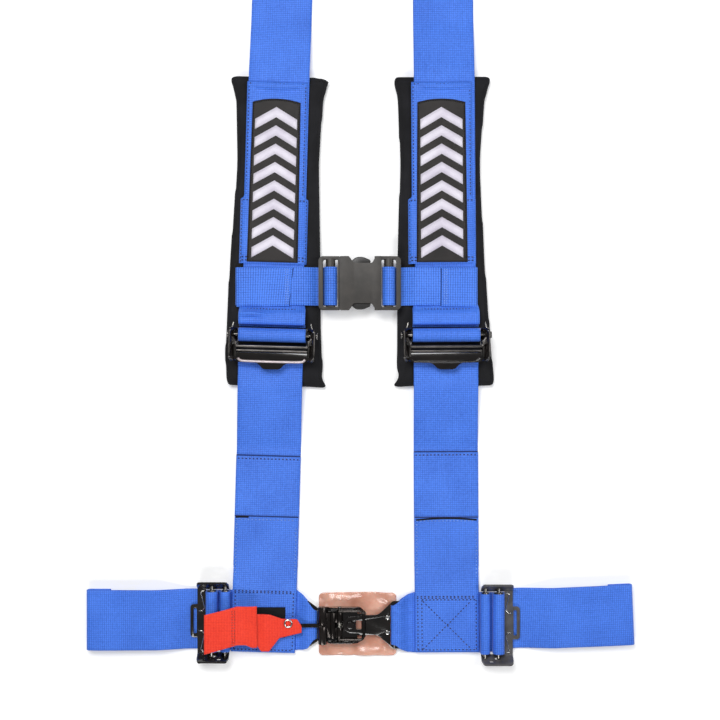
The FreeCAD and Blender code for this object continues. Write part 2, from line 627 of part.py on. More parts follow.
def latch_base():
    """Stamped base with two side rails, a webbing bar and a post for the link."""
    right = [("-38", "rail_half"), ("-50", "19", 3), ("-64", "29.5", 2), ("-67", "26.5", 1),
             ("-61", "22.4", 1), ("-61", "0")]
    upper = [("0", "rail_half", 8), ("7", "15", 3), ("7", "0")]
    top = right[:-1]
    bottom = [(place, f"-({y})") + tuple(rest) for place, y, *rest in right[:-1]]
    nose = [(place, f"-({y})") + tuple(rest) for place, y, *rest in upper[:-1]]
    outline = list(reversed(upper[:-1])) + top + list(reversed(bottom)) + nose
    slot = [("-57", "-latch_web_half - 0.6", 1), ("-52", "-latch_web_half - 0.6", 1),
            ("-52", "latch_web_half + 0.6", 1), ("-57", "latch_web_half + 0.6", 1)]
    eye = [("-4.9", "-5.5", 1), ("1.7", "-5.5", 1), ("1.7", "5.5", 1), ("-4.9", "5.5", 1)]
    windows = [[("-3.5", f"13.2 * {hand}"), ("2", f"13.2 * {hand}"),
                ("2", f"17.6 * {hand}"), ("-3.5", f"17.6 * {hand}")] for hand in (-1, 1)]
    floor = plate("LatchFloor", [outline, slot, eye] + windows, "base_low", "base_thick")
    rails = []
    for number, hand in ((1, -1), (2, 1)):
        side = [("-40", "base_low"), ("-1", "base_low"), ("-1", "rail_top - 5", 3),
                ("-8", "rail_top", 5), ("-36", "rail_top", 4), ("-40", "base_low + 4", 2)]
        near, far = ("21.8", "-19.6") if hand < 0 else ("-19.6", "21.8")
        rails.append(prism(f"LatchRail_{number}", side, ACROSS, near, far))
    post = rod("LatchPost", ("nose_x - 2", "0", "base_low + 1"), Vector(0, 0, 1), "4.2", "7.6")
    made = fuse("LatchBase", [floor] + rails + [post])
    bore = rod("LatchPinBore", ("pin_x", "-30", "pin_level"), Vector(0, 1, 0), "2.4", "60")
    keep("latch_base", cut("LatchBaseBored", made, bore), at(0, size("latch_y")))


def latch_lever():
    """Release lever: a split cross barrel, hinge knuckles and a tongue for the tab."""
    place = at(0, size("latch_y"))
    barrel = rod("LeverBarrel", ("barrel_x", "-barrel_half", "barrel_level"),
                 Vector(0, 1, 0), "barrel_radius", "2 * barrel_half")
    groove = rod("LeverGroove", ("barrel_x", "-1.3", "barrel_level"), Vector(0, 1, 0),
                 "barrel_radius + 1", "2.6")
    roll = cut("LeverRoll", barrel, groove)
    web = prism("LeverWeb", mirrored([("15", "barrel_x"), ("15", "pin_x")]),
                Rotation(Vector(0, 0, 1), -90), "pin_level + 1", "-pin_level + 1.5")
    knuckle = rod("LeverKnuckle", ("pin_x", "-15.6", "pin_level"), Vector(0, 1, 0), "3.4",
                  "31.2")
    ridge = rod("LeverRidge", ("-33", "-15.6", "pin_level + 1"), Vector(0, 1, 0), "3.4",
                "31.2")
    tongue = prism("LeverTongue", [("-82", "-2.2", 1), ("-40", "-2.2"), ("-40", "2.2"),
                                   ("-82", "2.2", 1)], FLAT, "barrel_level + 1.1",
                   "-barrel_level + 1.1")
    made = fuse("LatchLever", [roll, web, knuckle, ridge, tongue])
    middle = prism("LeverSpringGap", [("-30.5", "-3.4"), ("-19", "-3.4"), ("-19", "3.4"),
                                      ("-30.5", "3.4")], FLAT, "20", "0")
    bore = rod("LeverBore", ("pin_x", "-30", "pin_level"), Vector(0, 1, 0), "2.35", "60")
    cleared = cut("LeverCleared", made, middle)
    keep("latch_lever", cut("LeverBored", cleared, bore), place)


def latch_bail():
    """Front bail that closes over the link's neck and keeps it on the post."""
    place = at(0, size("latch_y"))
    bend = [("-17.4", "-1"), ("-17.4", "bail_bar_x - pin_x", 5),
            ("17.4", "bail_bar_x - pin_x", 5), ("17.4", "-1")]
    hoop = wire_rod("BailHoop", bend, Rotation(Vector(0, 0, 1), -90), "bail_level", "1.7")
    hoop.Placement = Placement(Vector(size("pin_x"), 0, 0), Rotation())
    ears = [rod(f"BailEar_{number}", ("pin_x", start, "pin_level"), Vector(0, 1, 0), "3.4",
                "2.9") for number, start in ((1, "-18.9"), (2, "16"))]
    bore = rod("BailBore", ("pin_x", "-30", "pin_level"), Vector(0, 1, 0), "2.35", "60")
    made = fuse("BailBlank", [hoop] + ears)
    keep("latch_bail", cut("LatchBail", made, bore), place)


def latch_small_parts():
    """Hinge pin and return spring of the lever."""
    place = at(0, size("latch_y"))
    pin = rod("LatchPin", ("pin_x", "-22.6", "pin_level"), Vector(0, 1, 0), "2.3", "45.2")
    keep("latch_hinge_pin", pin, place)
    spring = coil("LatchSpring", ("pin_x", "-2.7", "pin_level"), Vector(0, 1, 0), "2.95",
                  "0.45", "1.3", "5.2")
    keep("latch_spring", spring, place)


def link():
    """Link plate with a round nose, a see-through slot and a flared webbing end."""
    place = at(0, size("latch_y"))
    half = [("nose_x - 10", "9.9", 9.8), ("nose_x + 8", "9.9", 3), ("nose_x + 10", "12", 3),
            ("22", "12", 14), ("40", "29", 4), ("52.5", "29.5", 2.4), ("52.5", "25", 2),
            ("45.9", "24.7", 1)]
    other = [(corner[0], f"-({corner[1]})") + corner[2:] for corner in half]
    outline = half + list(reversed(other))
    eye = [("-4.9", "-5.5", 1), ("1.7", "-5.5", 1), ("1.7", "5.5", 1), ("-4.9", "5.5", 1)]
    slot = [("36.9", "-24.4", 1), ("41.4", "-24.4", 1), ("41.4", "24.4", 1),
            ("36.9", "24.4", 1)]
    body = plate("LinkPlate", [outline, eye, slot], "link_low", "link_thick")
    hole = rod("LinkHole", ("nose_x - 2", "0", "0"), Vector(0, 0, 1), "4.3", "20")
    rivet_bores = [rod(f"LinkRivetBore_{number}", ("33.6", where, "0"), Vector(0, 0, 1),
                       "1.8", "20") for number, where in ((1, "-9.2"), (2, "9.2"))]
    drilled = cut("LinkDrilled", body, fuse("LinkBores", [hole] + rivet_bores))
    keep("link_plate", drilled, place)
    rivets = []
    for number, where in ((1, "-9.2"), (2, "9.2")):
        shank = rod(f"RivetShank_{number}", ("33.6", where, "link_low - 1"),
                    Vector(0, 0, 1), "1.75", "link_thick + 2")
        head = rod(f"RivetHead_{number}", ("33.6", where, "link_low + link_thick"),
                   Vector(0, 0, 1), "2.6", "1.1")
        rivets.append(fuse(f"Rivet_{number}", [shank, head]))
    keep("link_rivets", group("LinkRivets", rivets), place)


def pull_tab():
    """Red webbing tab on the lever's tongue, with its folded end over the lap adjuster."""
    place = at(0, 0)
    route = [("-188", "31.5"), ("-160", "30.5", 30), ("-138", "26", 12), ("-116", "15", 12),
             ("-98", "12.8", 8), ("-71", "12.8")]
    band = ribbon("PullTabBand", route, ACROSS, "110")
    outline = [("-186.5", "20", 3), ("-147.7", "29.8", 30), ("-129.5", "28.5", 4),
               ("-126", "18.5", 4), ("-109.5", "16.9", 6), ("-95", "11.6", 6),
               ("-76.5", "11.2", 4), ("-70.5", "2", 3), ("-71", "-5.5", 2),
               ("-98", "-12", 8), ("-110.5", "-28", 4), ("-120", "-27.5", 4),
               ("-126", "-17", 4), ("-147.7", "-16.9", 30), ("-183", "-27.5", 3)]
    made = common("PullTab", band, prism("PullTabOutline", outline, FLAT, "50", "0"))
    keep("pull_tab", made, place)
    ring = doc.addObject("Part::Torus", "TabEyelet")
    ring.Radius1 = 4.4
    ring.Radius2 = 1.2
    ring.Placement.Base = Vector(-87.2, 6.2, 14.85)
    keep("pull_tab_eyelet", ring, place)


def hook_patch():
    """Hook-and-loop square that holds the pull tab down."""
    half = [("-129.9", "-12.3", 1), ("-91", "-12.3", 1), ("-91", "24.5", 1),
            ("-129.9", "24.5", 1)]
    made = plate("HookPatch", [half], "fourth_level + web_thick / 2 + 0.1", "1.2")
    keep("hook_and_loop_patch", made, at(0, 0))


# ---------------------------------------------------------------- sternum strap, buckle
def sternum_strap(side, hand):
    """Loops round the shoulder strap and threads the buckle's ladder bar."""
    fold = f"sternum_fold_{side}"
    ladder = f"(buckle_x + ladder_x * {hand})"
    reach = "(ladder_radius + fit_gap + web_thick / 2)"
    middle = "((buckle_low + buckle_high) / 2)"
    turn = "(sternum_level - under_level) / 2 - 0.1"
    inner = f"({fold}) - {84 * hand}"
    edge = f"buckle_x + (buckle_end + 3) * {hand}"
    route = [(inner, "under_level"), (fold, "under_level", turn),
             (fold, "sternum_level", turn), (f"{edge} + {10 * hand}", "sternum_level", 4),
             (edge, "buckle_low + 0.4", 5),
             (f"{ladder} + {reach} * {hand}", "buckle_low + 0.4", 2),
             (f"{ladder} + {reach} * {hand}", f"{middle} + {reach}", f"{reach} - 0.1"),
             (f"{ladder} - {reach} * {hand}", f"{middle} + {reach}", f"{reach} - 0.1"),
             (f"{ladder} - {reach} * {hand}", "buckle_low - 1.4", 2),
             (f"{ladder} + {7.6 * hand}", "buckle_low - 1.4")]
    made = ribbon(f"SternumStrap_{side}", route, ACROSS, "sternum_web")
    keep(f"sternum_strap_{side}", made, at(0, size("sternum_y") + 0.3))


def ladder_frame(name, hand, root):
    """One end of the buckle: rails, outer bar and ladder bar round the strap."""
    rails = [(root, "-buckle_half"), ("buckle_end", "-buckle_half", 6),
             ("buckle_end", "buckle_half", 6), (root, "buckle_half")]
    slot = [("buckle_end - loop_bar - 17.9", "-28.6", 1.5),
            ("buckle_end - loop_bar", "-28.6", 2.5), ("buckle_end - loop_bar", "28.6", 2.5),
            ("buckle_end - loop_bar - 17.9", "28.6", 1.5)]
    flip = [[(f"({c[0]}) * {hand}",) + c[1:] for c in outline] for outline in (rails, slot)]
    frame = plate(name + "_ladder", flip, "buckle_low + 1.5",
                  "buckle_high - buckle_low - 3")
    bar = rod(name + "_bar", (f"ladder_x * {hand}", "-29.5",
                              "(buckle_low + buckle_high) / 2"),
              Vector(0, 1, 0), "ladder_radius - 0.4", "59")
    return [frame, bar]


def buckle_socket():
    """Female half: hollow housing with side windows for the prongs."""
    half = [("housing_left", "buckle_half", 1.5), ("-13", "buckle_half", 2),
            ("-7", "waist_half", 3), ("15", "waist_half", 3), ("19.5", "buckle_half", 2),
            ("26", "buckle_half")]
    other = [(corner[0], f"-({corner[1]})") + corner[2:] for corner in half]
    shell = plate("SocketShell", [half + list(reversed(other))], "buckle_low",
                  "buckle_high - buckle_low")
    cavity = doc.addObject("Part::Box", "SocketCavity")
    cavity.setExpression(".Placement.Base.x", bound("housing_left - 1"))
    cavity.Placement.Base.y = -28
    cavity.setExpression(".Placement.Base.z", bound("buckle_low + 2.2"))
    cavity.setExpression("Length", bound("15.5 - housing_left"))
    cavity.Width = 56
    cavity.setExpression("Height", bound("buckle_high - buckle_low - 4.4"))
    hollow = cut("SocketHollow", shell, cavity)
    made = fuse("BuckleSocket", [hollow] + ladder_frame("Socket", 1, "18"))
    keep("sternum_buckle_socket", made, at(size("buckle_x"), size("buckle_y")))


def buckle_insert():
    """Male half: ladder end and a centre guide that enters the housing."""
    parts = ladder_frame("Insert", -1, "24.3")
    collar = [("-25", "-27"), ("-22", "-27"), ("-22", "27"), ("-25", "27")]
    parts.append(prism("InsertCollar", collar, FLAT, "buckle_high - 2.6",
                       "-buckle_low - 2.6"))
    guide = [("-23", "-7"), ("10", "-7", 3), ("10", "7", 3), ("-23", "7")]
    parts.append(prism("InsertGuide", guide, FLAT, "buckle_high - 3.2",
                       "-buckle_low - 3.2"))
    made = fuse("BuckleInsert", parts)
    keep("sternum_buckle_insert", made, at(size("buckle_x"), size("buckle_y")))


def buckle_prong(label, hand):
    """Springy side arm with a rounded pad that is squeezed to open the buckle."""
    outline = [("-21.7", "13"), ("-8", "15", 12), ("6", "21", 8), ("13", "23", 3),
               ("13.2", "28", 3), ("4", "31.8", 10), ("-5", "31.8", 10), ("-11.5", "25", 6),
               ("-21.7", "20.5")]
    shape = [(corner[0], f"({corner[1]}) * {hand}") + corner[2:] for corner in outline]
    made = plate("Prong_" + label, [shape], "buckle_low + 2.8",
                 "buckle_high - buckle_low - 5.6")
    keep(f"sternum_prong_{label}", made, at(size("buckle_x"), size("buckle_y")))


# ---------------------------------------------------------------- build and write
def build():
    shoulder_side("left", -117.7, -1.62, -1, inner=[60.5, 54, 50.5, 56.5, 60, 66.5],
                  outer=[59, 51, 47, 53, 55.5, 53])
    shoulder_side("right", 106.2, 0.34, 1, inner=[61.5, 55.5, 53, 57.5, 58.5, 61],
                  outer=[57.5, 49, 42, 48, 55.5, 59])
    lap_side("left", -1)
    lap_side("right", 1)
    base_middle = "(base_low + base_thick / 2)"
    link_middle = "(link_low + link_thick / 2)"
    buckle_strap("left", -1, "latch_bar_x", "latch_web_half", base_middle, 8)
    buckle_strap("right", 1, "link_bar_x", "link_web_half", link_middle, 10)
    buckle_guard()
    latch_base()
    latch_lever()
    latch_bail()
    latch_small_parts()
    link()
    pull_tab()
    hook_patch()
    sternum_strap("left", -1)
    sternum_strap("right", 1)
    buckle_socket()
    buckle_insert()
    buckle_prong("upper", 1)
    buckle_prong("lower", -1)


def write():
    doc.recompute()
    for item in doc.Objects:
        if "Invalid" in item.State or "Error" in item.State:
            raise RuntimeError(f"{item.Name} did not rebuild: {item.State}")
    os.makedirs("parts", exist_ok=True)
    whole = FreeCAD.BoundBox()
    for item in SUBPARTS:
        shape = item.Shape
        if shape.isNull() or not shape.isValid() or not shape.Solids:
            raise RuntimeError(f"{item.Label} has no sound solid")
        whole.add(shape.BoundBox)
        shape.exportStep(f"parts/{item.Label}.step")
        box = shape.BoundBox
        print(f"{item.Label:36s} solids {len(shape.Solids)}  volume {shape.Volume:9.1f}"
              f"  x {box.XMin:7.1f} {box.XMax:7.1f}  y {box.YMin:7.1f} {box.YMax:7.1f}"
              f"  z {box.ZMin:5.1f} {box.ZMax:5.1f}")
    print(len(SUBPARTS), "sub-parts, whole box", whole)


build()
write()
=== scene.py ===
import math
import random

import bmesh
import bpy
import numpy as np
from mathutils import Matrix, Vector, noise


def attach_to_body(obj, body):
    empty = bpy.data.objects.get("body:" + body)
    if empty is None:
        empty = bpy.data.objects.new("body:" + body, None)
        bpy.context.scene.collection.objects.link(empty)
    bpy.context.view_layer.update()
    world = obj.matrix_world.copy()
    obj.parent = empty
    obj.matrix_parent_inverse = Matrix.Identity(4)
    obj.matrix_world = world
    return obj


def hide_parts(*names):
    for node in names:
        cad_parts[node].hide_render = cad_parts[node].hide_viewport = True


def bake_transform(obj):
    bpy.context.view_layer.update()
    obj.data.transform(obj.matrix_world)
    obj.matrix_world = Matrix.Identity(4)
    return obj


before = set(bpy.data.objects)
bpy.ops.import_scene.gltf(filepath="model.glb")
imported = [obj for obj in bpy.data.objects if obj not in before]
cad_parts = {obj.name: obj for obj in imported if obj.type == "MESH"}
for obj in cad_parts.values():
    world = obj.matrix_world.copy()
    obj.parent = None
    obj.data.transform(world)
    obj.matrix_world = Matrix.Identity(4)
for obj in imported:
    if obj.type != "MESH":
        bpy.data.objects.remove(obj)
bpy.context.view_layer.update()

# All lengths below are millimetres in the part's own frame; make() turns them into metres.
MM = 0.001
LINE = (-0.7, -412.9)            # where the buckle line's origin sits in the part's frame
SIDES = (("left", -1), ("right", 1))
SHOULDER = {"left": (-117.7, -1.62), "right": (106.2, 0.34)}    # middle, lean in degrees
SHOULDER_BAR = (356.0, 24.0)     # distance from the buckle line, height
SHOULDER_SHIFT = {"left": 1.8, "right": 0.0}    # adjuster's middle, across the strap
LAP_LOCK = {"left": -180.4, "right": 168.6}     # lap adjuster's sliding bar
LAP_Y = {"left": 8.0, "right": 5.2}
LAP_SPACING = 16.3               # from the sliding bar to the fixed one
LAP_FOLD = 332.0                 # outer end of the lap strap
BELT_Y = {"left": 9.8, "right": 9.6}
BELT_LEAN = {"left": 0.0, "right": 2.4}
PAD_TOP = 670.5
PAD_BOTTOM = 295.0
STERNUM_Y = 415.0
SLEEVE_LOW = 442.5               # the sleeve over the pad, from its lower hem
SLEEVE_LENGTH = 220.5
SLEEVE_SHIFT = {"left": -0.8, "right": -3.7}    # sleeve's middle, across the strap
PATCH_SHIFT = {"left": -1.2, "right": -4.0}
PATCH_LOW = 444.5
DOUBLER_TOP = {"left": 208.5, "right": 213.5}
OVERLAY_TOP = {"left": 134.5, "right": 133.5}
WEB = 1.5                        # webbing thickness
UP = Vector((0, 0, 1))
FIBRE = random.Random(7)         # wander of the stitches


# ---------- materials
def new_material(name):
    material = bpy.data.materials.new(name)
    material.use_nodes = True
    tree = material.node_tree
    shader = tree.nodes["Principled BSDF"]
    return material, tree, shader


def link(tree, source, target):
    tree.links.new(source, target)


def times(tree, source, factor):
    return math_node(tree, "MULTIPLY", source, factor)


def node(tree, kind, **settings):
    made = tree.nodes.new(kind)
    for key, value in settings.items():
        setattr(made, key, value)
    return made


def set_inputs(made, **values):
    """Constants for sockets; an underscore stands for a space in a socket's name."""
    for key, value in values.items():
        made.inputs[key.replace("_", " ")].default_value = value


def object_space(tree):
    return node(tree, "ShaderNodeTexCoord").outputs["Object"]


def math_node(tree, operation, first, second=None):
    made = node(tree, "ShaderNodeMath", operation=operation)
    for index, value in enumerate((first, second)):
        if value is None:
            continue
        if isinstance(value, (int, float)):
            made.inputs[index].default_value = value
        else:
            link(tree, value, made.inputs[index])
    return made.outputs[0]


def colour_by(tree, shader, source, low, high, low_colour, high_colour):
    """The base colour, blended between two colours by a source's value."""
    made = node(tree, "ShaderNodeValToRGB")
    stops = made.color_ramp.elements
    stops[0].position = low
    stops[0].color = (*low_colour, 1)
    stops[1].position = high
    stops[1].color = (*high_colour, 1)
    link(tree, source, made.inputs[0])
    link(tree, made.outputs[0], shader.inputs["Base Color"])


def noise_node(tree, vector, scale, detail=3.0, rough=0.5):
    made = node(tree, "ShaderNodeTexNoise")
    set_inputs(made, Scale=scale, Detail=detail, Roughness=rough)
    link(tree, vector, made.inputs["Vector"])
    return made.outputs["Fac"]


def bump(tree, shader, height, distance, strength):
    made = node(tree, "ShaderNodeBump")
    set_inputs(made, Distance=distance, Strength=strength)
    link(tree, height, made.inputs["Height"])
    link(tree, made.outputs[0], shader.inputs["Normal"])


def webbing_material(name, dark, light, rib=2.3, yarn=2.6, weave_share=0.30):
    """Woven polyester strap: crosswise ribs over lengthwise yarns, from UVs in metres."""
    material, tree, shader = new_material(name)
    uv = node(tree, "ShaderNodeUVMap").outputs[0]
    parts = node(tree, "ShaderNodeSeparateXYZ")
    link(tree, uv, parts.inputs[0])
    across = times(tree, parts.outputs[0], 2 * math.pi / (yarn * MM))
    along = times(tree, parts.outputs[1], 2 * math.pi / (rib * MM))
    half_along = times(tree, along, 0.5)
    half_across = times(tree, across, 0.5)
    ribs = math_node(tree, "ABSOLUTE", math_node(tree, "SINE", half_along))
    yarns = math_node(tree, "ABSOLUTE", math_node(tree, "SINE", half_across))
    weave = times(tree, ribs, math_node(tree, "POWER", yarns, 0.5))
    space = object_space(tree)
    patches = noise_node(tree, space, 22.0, 2.0)
    streaks = node(tree, "ShaderNodeMapping")
    streaks.inputs["Scale"].default_value = (900.0, 14.0, 1.0)
    link(tree, uv, streaks.inputs["Vector"])
    fibre = noise_node(tree, streaks.outputs[0], 1.0, 2.0)
    speckle = noise_node(tree, space, 420.0, 2.0, 0.7)
    shares = ((weave, weave_share), (patches, 0.26), (fibre, 0.18), (speckle, 0.40))
    mixed = 0.0
    for source, share in shares:
        mixed = math_node(tree, "ADD", mixed, times(tree, source, share))
    colour_by(tree, shader, mixed, 0.32, 0.78, dark, light)
    set_inputs(shader, Roughness=0.5, Sheen_Weight=0.12, Sheen_Roughness=0.4,
               Specular_IOR_Level=0.35)
    bump(tree, shader, weave, 0.00030, 0.9)
    return material


def cloth_material(name, dark, light, scale=900.0, roughness=0.85, sheen=0.3):
    """Fine plain cloth whose weave comes from the object's own coordinates."""
    material, tree, shader = new_material(name)
    space = object_space(tree)
    parts = node(tree, "ShaderNodeSeparateXYZ")
    link(tree, space, parts.inputs[0])
    waves = []
    for index in (0, 1):
        angle = times(tree, parts.outputs[index], 2 * math.pi * scale)
        waves.append(math_node(tree, "SINE", angle))
    weave = times(tree, waves[0], waves[1])
    soft = noise_node(tree, space, 30.0, 4.0)
    mixed = math_node(tree, "ADD", times(tree, weave, 0.12), soft)
    colour_by(tree, shader, mixed, 0.3, 0.75, dark, light)
    set_inputs(shader, Roughness=roughness, Sheen_Weight=sheen, Sheen_Roughness=0.5,
               Specular_IOR_Level=0.3)
    grain = noise_node(tree, space, 1600.0, 2.0)
    height = math_node(tree, "ADD", weave, grain)
    bump(tree, shader, height, 0.00012, 0.6)
    return material


def hard_material(name, dark, light, roughness, metallic=0.0, coat=0.0, grain=900.0,
                  depth=0.00004, wear=0.1, coat_roughness=0.12):
    """Moulded, plated or enamelled surface: mottled colour and roughness, fine grain."""
    material, tree, shader = new_material(name)
    space = object_space(tree)
    colour_by(tree, shader, noise_node(tree, space, 55.0, 5.0, 0.6), 0.35, 0.7, dark, light)
    spread = node(tree, "ShaderNodeMapRange")
    set_inputs(spread, To_Min=max(roughness - wear, 0.03), To_Max=roughness + wear)
    link(tree, noise_node(tree, space, 160.0, 3.0), spread.inputs["Value"])
    link(tree, spread.outputs[0], shader.inputs["Roughness"])
    set_inputs(shader, Metallic=metallic, Coat_Weight=coat, Coat_Roughness=coat_roughness)
    bump(tree, shader, noise_node(tree, space, grain, 2.0), depth, 0.5)
    return material


def vinyl_material():
    """Flexible translucent vinyl with a wet gloss."""
    material, tree, shader = new_material("guard_vinyl")
    space = object_space(tree)
    cloud = noise_node(tree, space, 38.0, 4.0)
    colour_by(tree, shader, cloud, 0.3, 0.75, (0.51, 0.225, 0.15), (0.84, 0.50, 0.385))
    set_inputs(shader, Roughness=0.3, Subsurface_Weight=0.35,
               Subsurface_Radius=(0.004, 0.0015, 0.001), Subsurface_Scale=0.5,
               Coat_Weight=0.8, Coat_Roughness=0.14)
    bump(tree, shader, noise_node(tree, space, 34.0, 1.0), 0.0012, 0.5)
    return material


POLISHED = 0.000002              # depth of the grain on polished metal, in metres
BLUE = webbing_material("blue_webbing", (0.020, 0.095, 0.50), (0.075, 0.24, 0.92))
BLUE_FINE = webbing_material("blue_webbing_grid", (0.009, 0.058, 0.38), (0.070, 0.235, 0.90),
                             2.9, 3.0, 0.42)
RED = webbing_material("red_webbing", (0.72, 0.016, 0.006), (1.0, 0.065, 0.024), 1.9, 1.9)
THREAD_DARK = cloth_material("thread_dark", (0.004, 0.012, 0.08), (0.010, 0.03, 0.17))
THREAD_BLUE = cloth_material("thread_blue", (0.10, 0.24, 0.75), (0.20, 0.40, 0.95))
THREAD_RED = cloth_material("thread_red", (0.5, 0.02, 0.01), (0.7, 0.05, 0.02))
THREAD_BLACK = cloth_material("thread_black", (0.004, 0.004, 0.005), (0.010, 0.010, 0.011),
                              roughness=0.9, sheen=0.02)
PAD_CLOTH = cloth_material("pad_cloth", (0.005, 0.005, 0.006), (0.014, 0.014, 0.017), 520.0,
                           0.9, 0.04)
PATCH = cloth_material("patch_satin", (0.007, 0.005, 0.005), (0.020, 0.016, 0.015), 700.0,
                       0.45, 0.05)
PEARL = cloth_material("patch_print", (0.62, 0.57, 0.68), (0.85, 0.82, 0.90), 700.0, 0.4, 0.2)
HOOK = cloth_material("hook_tape", (0.004, 0.004, 0.005), (0.014, 0.014, 0.015), 420.0, 0.95,
                      0.03)
ENAMEL = hard_material("black_enamel", (0.005, 0.0042, 0.004), (0.012, 0.009, 0.008), 0.15,
                       coat=0.8, depth=POLISHED, wear=0.04, coat_roughness=0.05)
BAR_METAL = hard_material("bar_steel", (0.10, 0.095, 0.09), (0.20, 0.19, 0.18), 0.24, 1.0)
EDGE_METAL = hard_material("frame_steel", (0.007, 0.006, 0.006), (0.020, 0.017, 0.016), 0.18,
                           coat=0.9, depth=POLISHED, wear=0.05, coat_roughness=0.06)
BRIGHT = hard_material("bright_steel", (0.62, 0.61, 0.58), (0.82, 0.81, 0.78), 0.2, 1.0)
SPRING = hard_material("spring_steel", (0.42, 0.40, 0.36), (0.62, 0.60, 0.55), 0.25, 1.0)
ACETAL = hard_material("buckle_plastic", (0.030, 0.027, 0.024), (0.048, 0.042, 0.037), 0.50,
                       grain=2600.0, depth=0.00006)
# A lighter grey copy of the black frame steel: a painted reflection for the right lap frame's
# plate.
LAP_FRAME_PAINTED_REFLECTION = hard_material("frame_steel_painted_reflection", (0.05, 0.048, 0.05), (0.10, 0.096, 0.10), 0.38, coat=0.5)
DARK_CHROME = hard_material("dark_chrome", (0.075, 0.070, 0.066), (0.13, 0.12, 0.115), 0.30, 1.0,
                            depth=POLISHED, wear=0.03)
# The buckle's own plastic made darker for the prongs: painted shade from the notch they sit in.
PRONG_PAINTED_SHADE = hard_material("prong_plastic_painted_shade", (0.010, 0.009, 0.009), (0.020, 0.018, 0.017), 0.4,
                      grain=2600.0)
# Pinkish silver for the left band lip only: a painted reflection of the lamps on its rolled
# edge.
LIP_PAINTED_REFLECTION = hard_material("lip_painted_reflection", (0.42, 0.36, 0.37), (0.62, 0.54, 0.55), 0.34, 0.6)
BLACK_CHROME = hard_material("black_chrome", (0.030, 0.026, 0.024), (0.070, 0.060, 0.056), 0.16,
                             0.85, depth=POLISHED, wear=0.04, coat_roughness=0.05)
VINYL = vinyl_material()


# ---------- mesh helpers
def at(x, y, lean=0.0, z=0.0):
    """A placement measured from the buckle line."""
    shift = Matrix.Translation((x + LINE[0], y + LINE[1], z))
    return shift @ Matrix.Rotation(math.radians(lean), 4, "Z")


def linked(name, data):
    made = bpy.data.objects.new(name, data)
    bpy.context.scene.collection.objects.link(made)
    return made


def smooth_object(name, data, material):
    """An object for a mesh, smooth and in one material."""
    data.materials.clear()
    data.materials.append(material)
    for face in data.polygons:
        face.material_index = 0
    data.shade_smooth()
    return linked(name, data)


def make(name, points, faces, material, uvs=None, smooth=True):
    """A mesh object from points in millimetres."""
    mesh = bpy.data.meshes.new(name)
    mesh.from_pydata([(p[0] * MM, p[1] * MM, p[2] * MM) for p in points], [], faces)
    if uvs is not None:
        layer = mesh.uv_layers.new(name="UVMap")
        for loop in mesh.loops:
            layer.data[loop.index].uv = uvs[loop.vertex_index]
    mesh.materials.append(material)
    for face in mesh.polygons:
        face.use_smooth = smooth
    mesh.update()
    return linked(name, mesh)


def attach(piece, body, slot, *nodes):
    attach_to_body(piece, body)
    if nodes:
        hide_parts(*nodes)


def placed(place, spots):
    return [place @ Vector(spot) for spot in spots]


def rounded(corners, step=3.0):
    """Points along straight runs joined by arcs; corners are (a, b) or (a, b, radius)."""
    points = [Vector(corner[:2]) for corner in corners]
    path = [points[0]]
    for index in range(1, len(points) - 1):
        here = points[index]
        radius = corners[index][2] if len(corners[index]) > 2 else 0.0
        back = (points[index - 1] - here).normalized()
        ahead = (points[index + 1] - here).normalized()
        turn = math.pi - back.angle(ahead)
        if radius <= 0 or turn < 1e-4:
            path.append(here)
            continue
        cut = radius * math.tan(turn / 2)
        start = here + back * cut
        middle = here + (back + ahead).normalized() * (radius / math.cos(turn / 2))
        arm = start - middle
        sense = 1 if back.x * ahead.y - back.y * ahead.x < 0 else -1
        count = max(2, math.ceil(turn / math.radians(14)))
        for number in range(count + 1):
            angle = sense * turn * number / count
            spun = Vector((arm.x * math.cos(angle) - arm.y * math.sin(angle),
                           arm.x * math.sin(angle) + arm.y * math.cos(angle)))
            path.append(middle + spun)
    path.append(points[-1])
    dense = [path[0]]
    for here, following in zip(path, path[1:]):
        gap = (following - here).length
        if gap < 1e-5:
            continue
        count = max(1, math.ceil(gap / step))
        dense += [here.lerp(following, number / count) for number in range(1, count + 1)]
    return dense


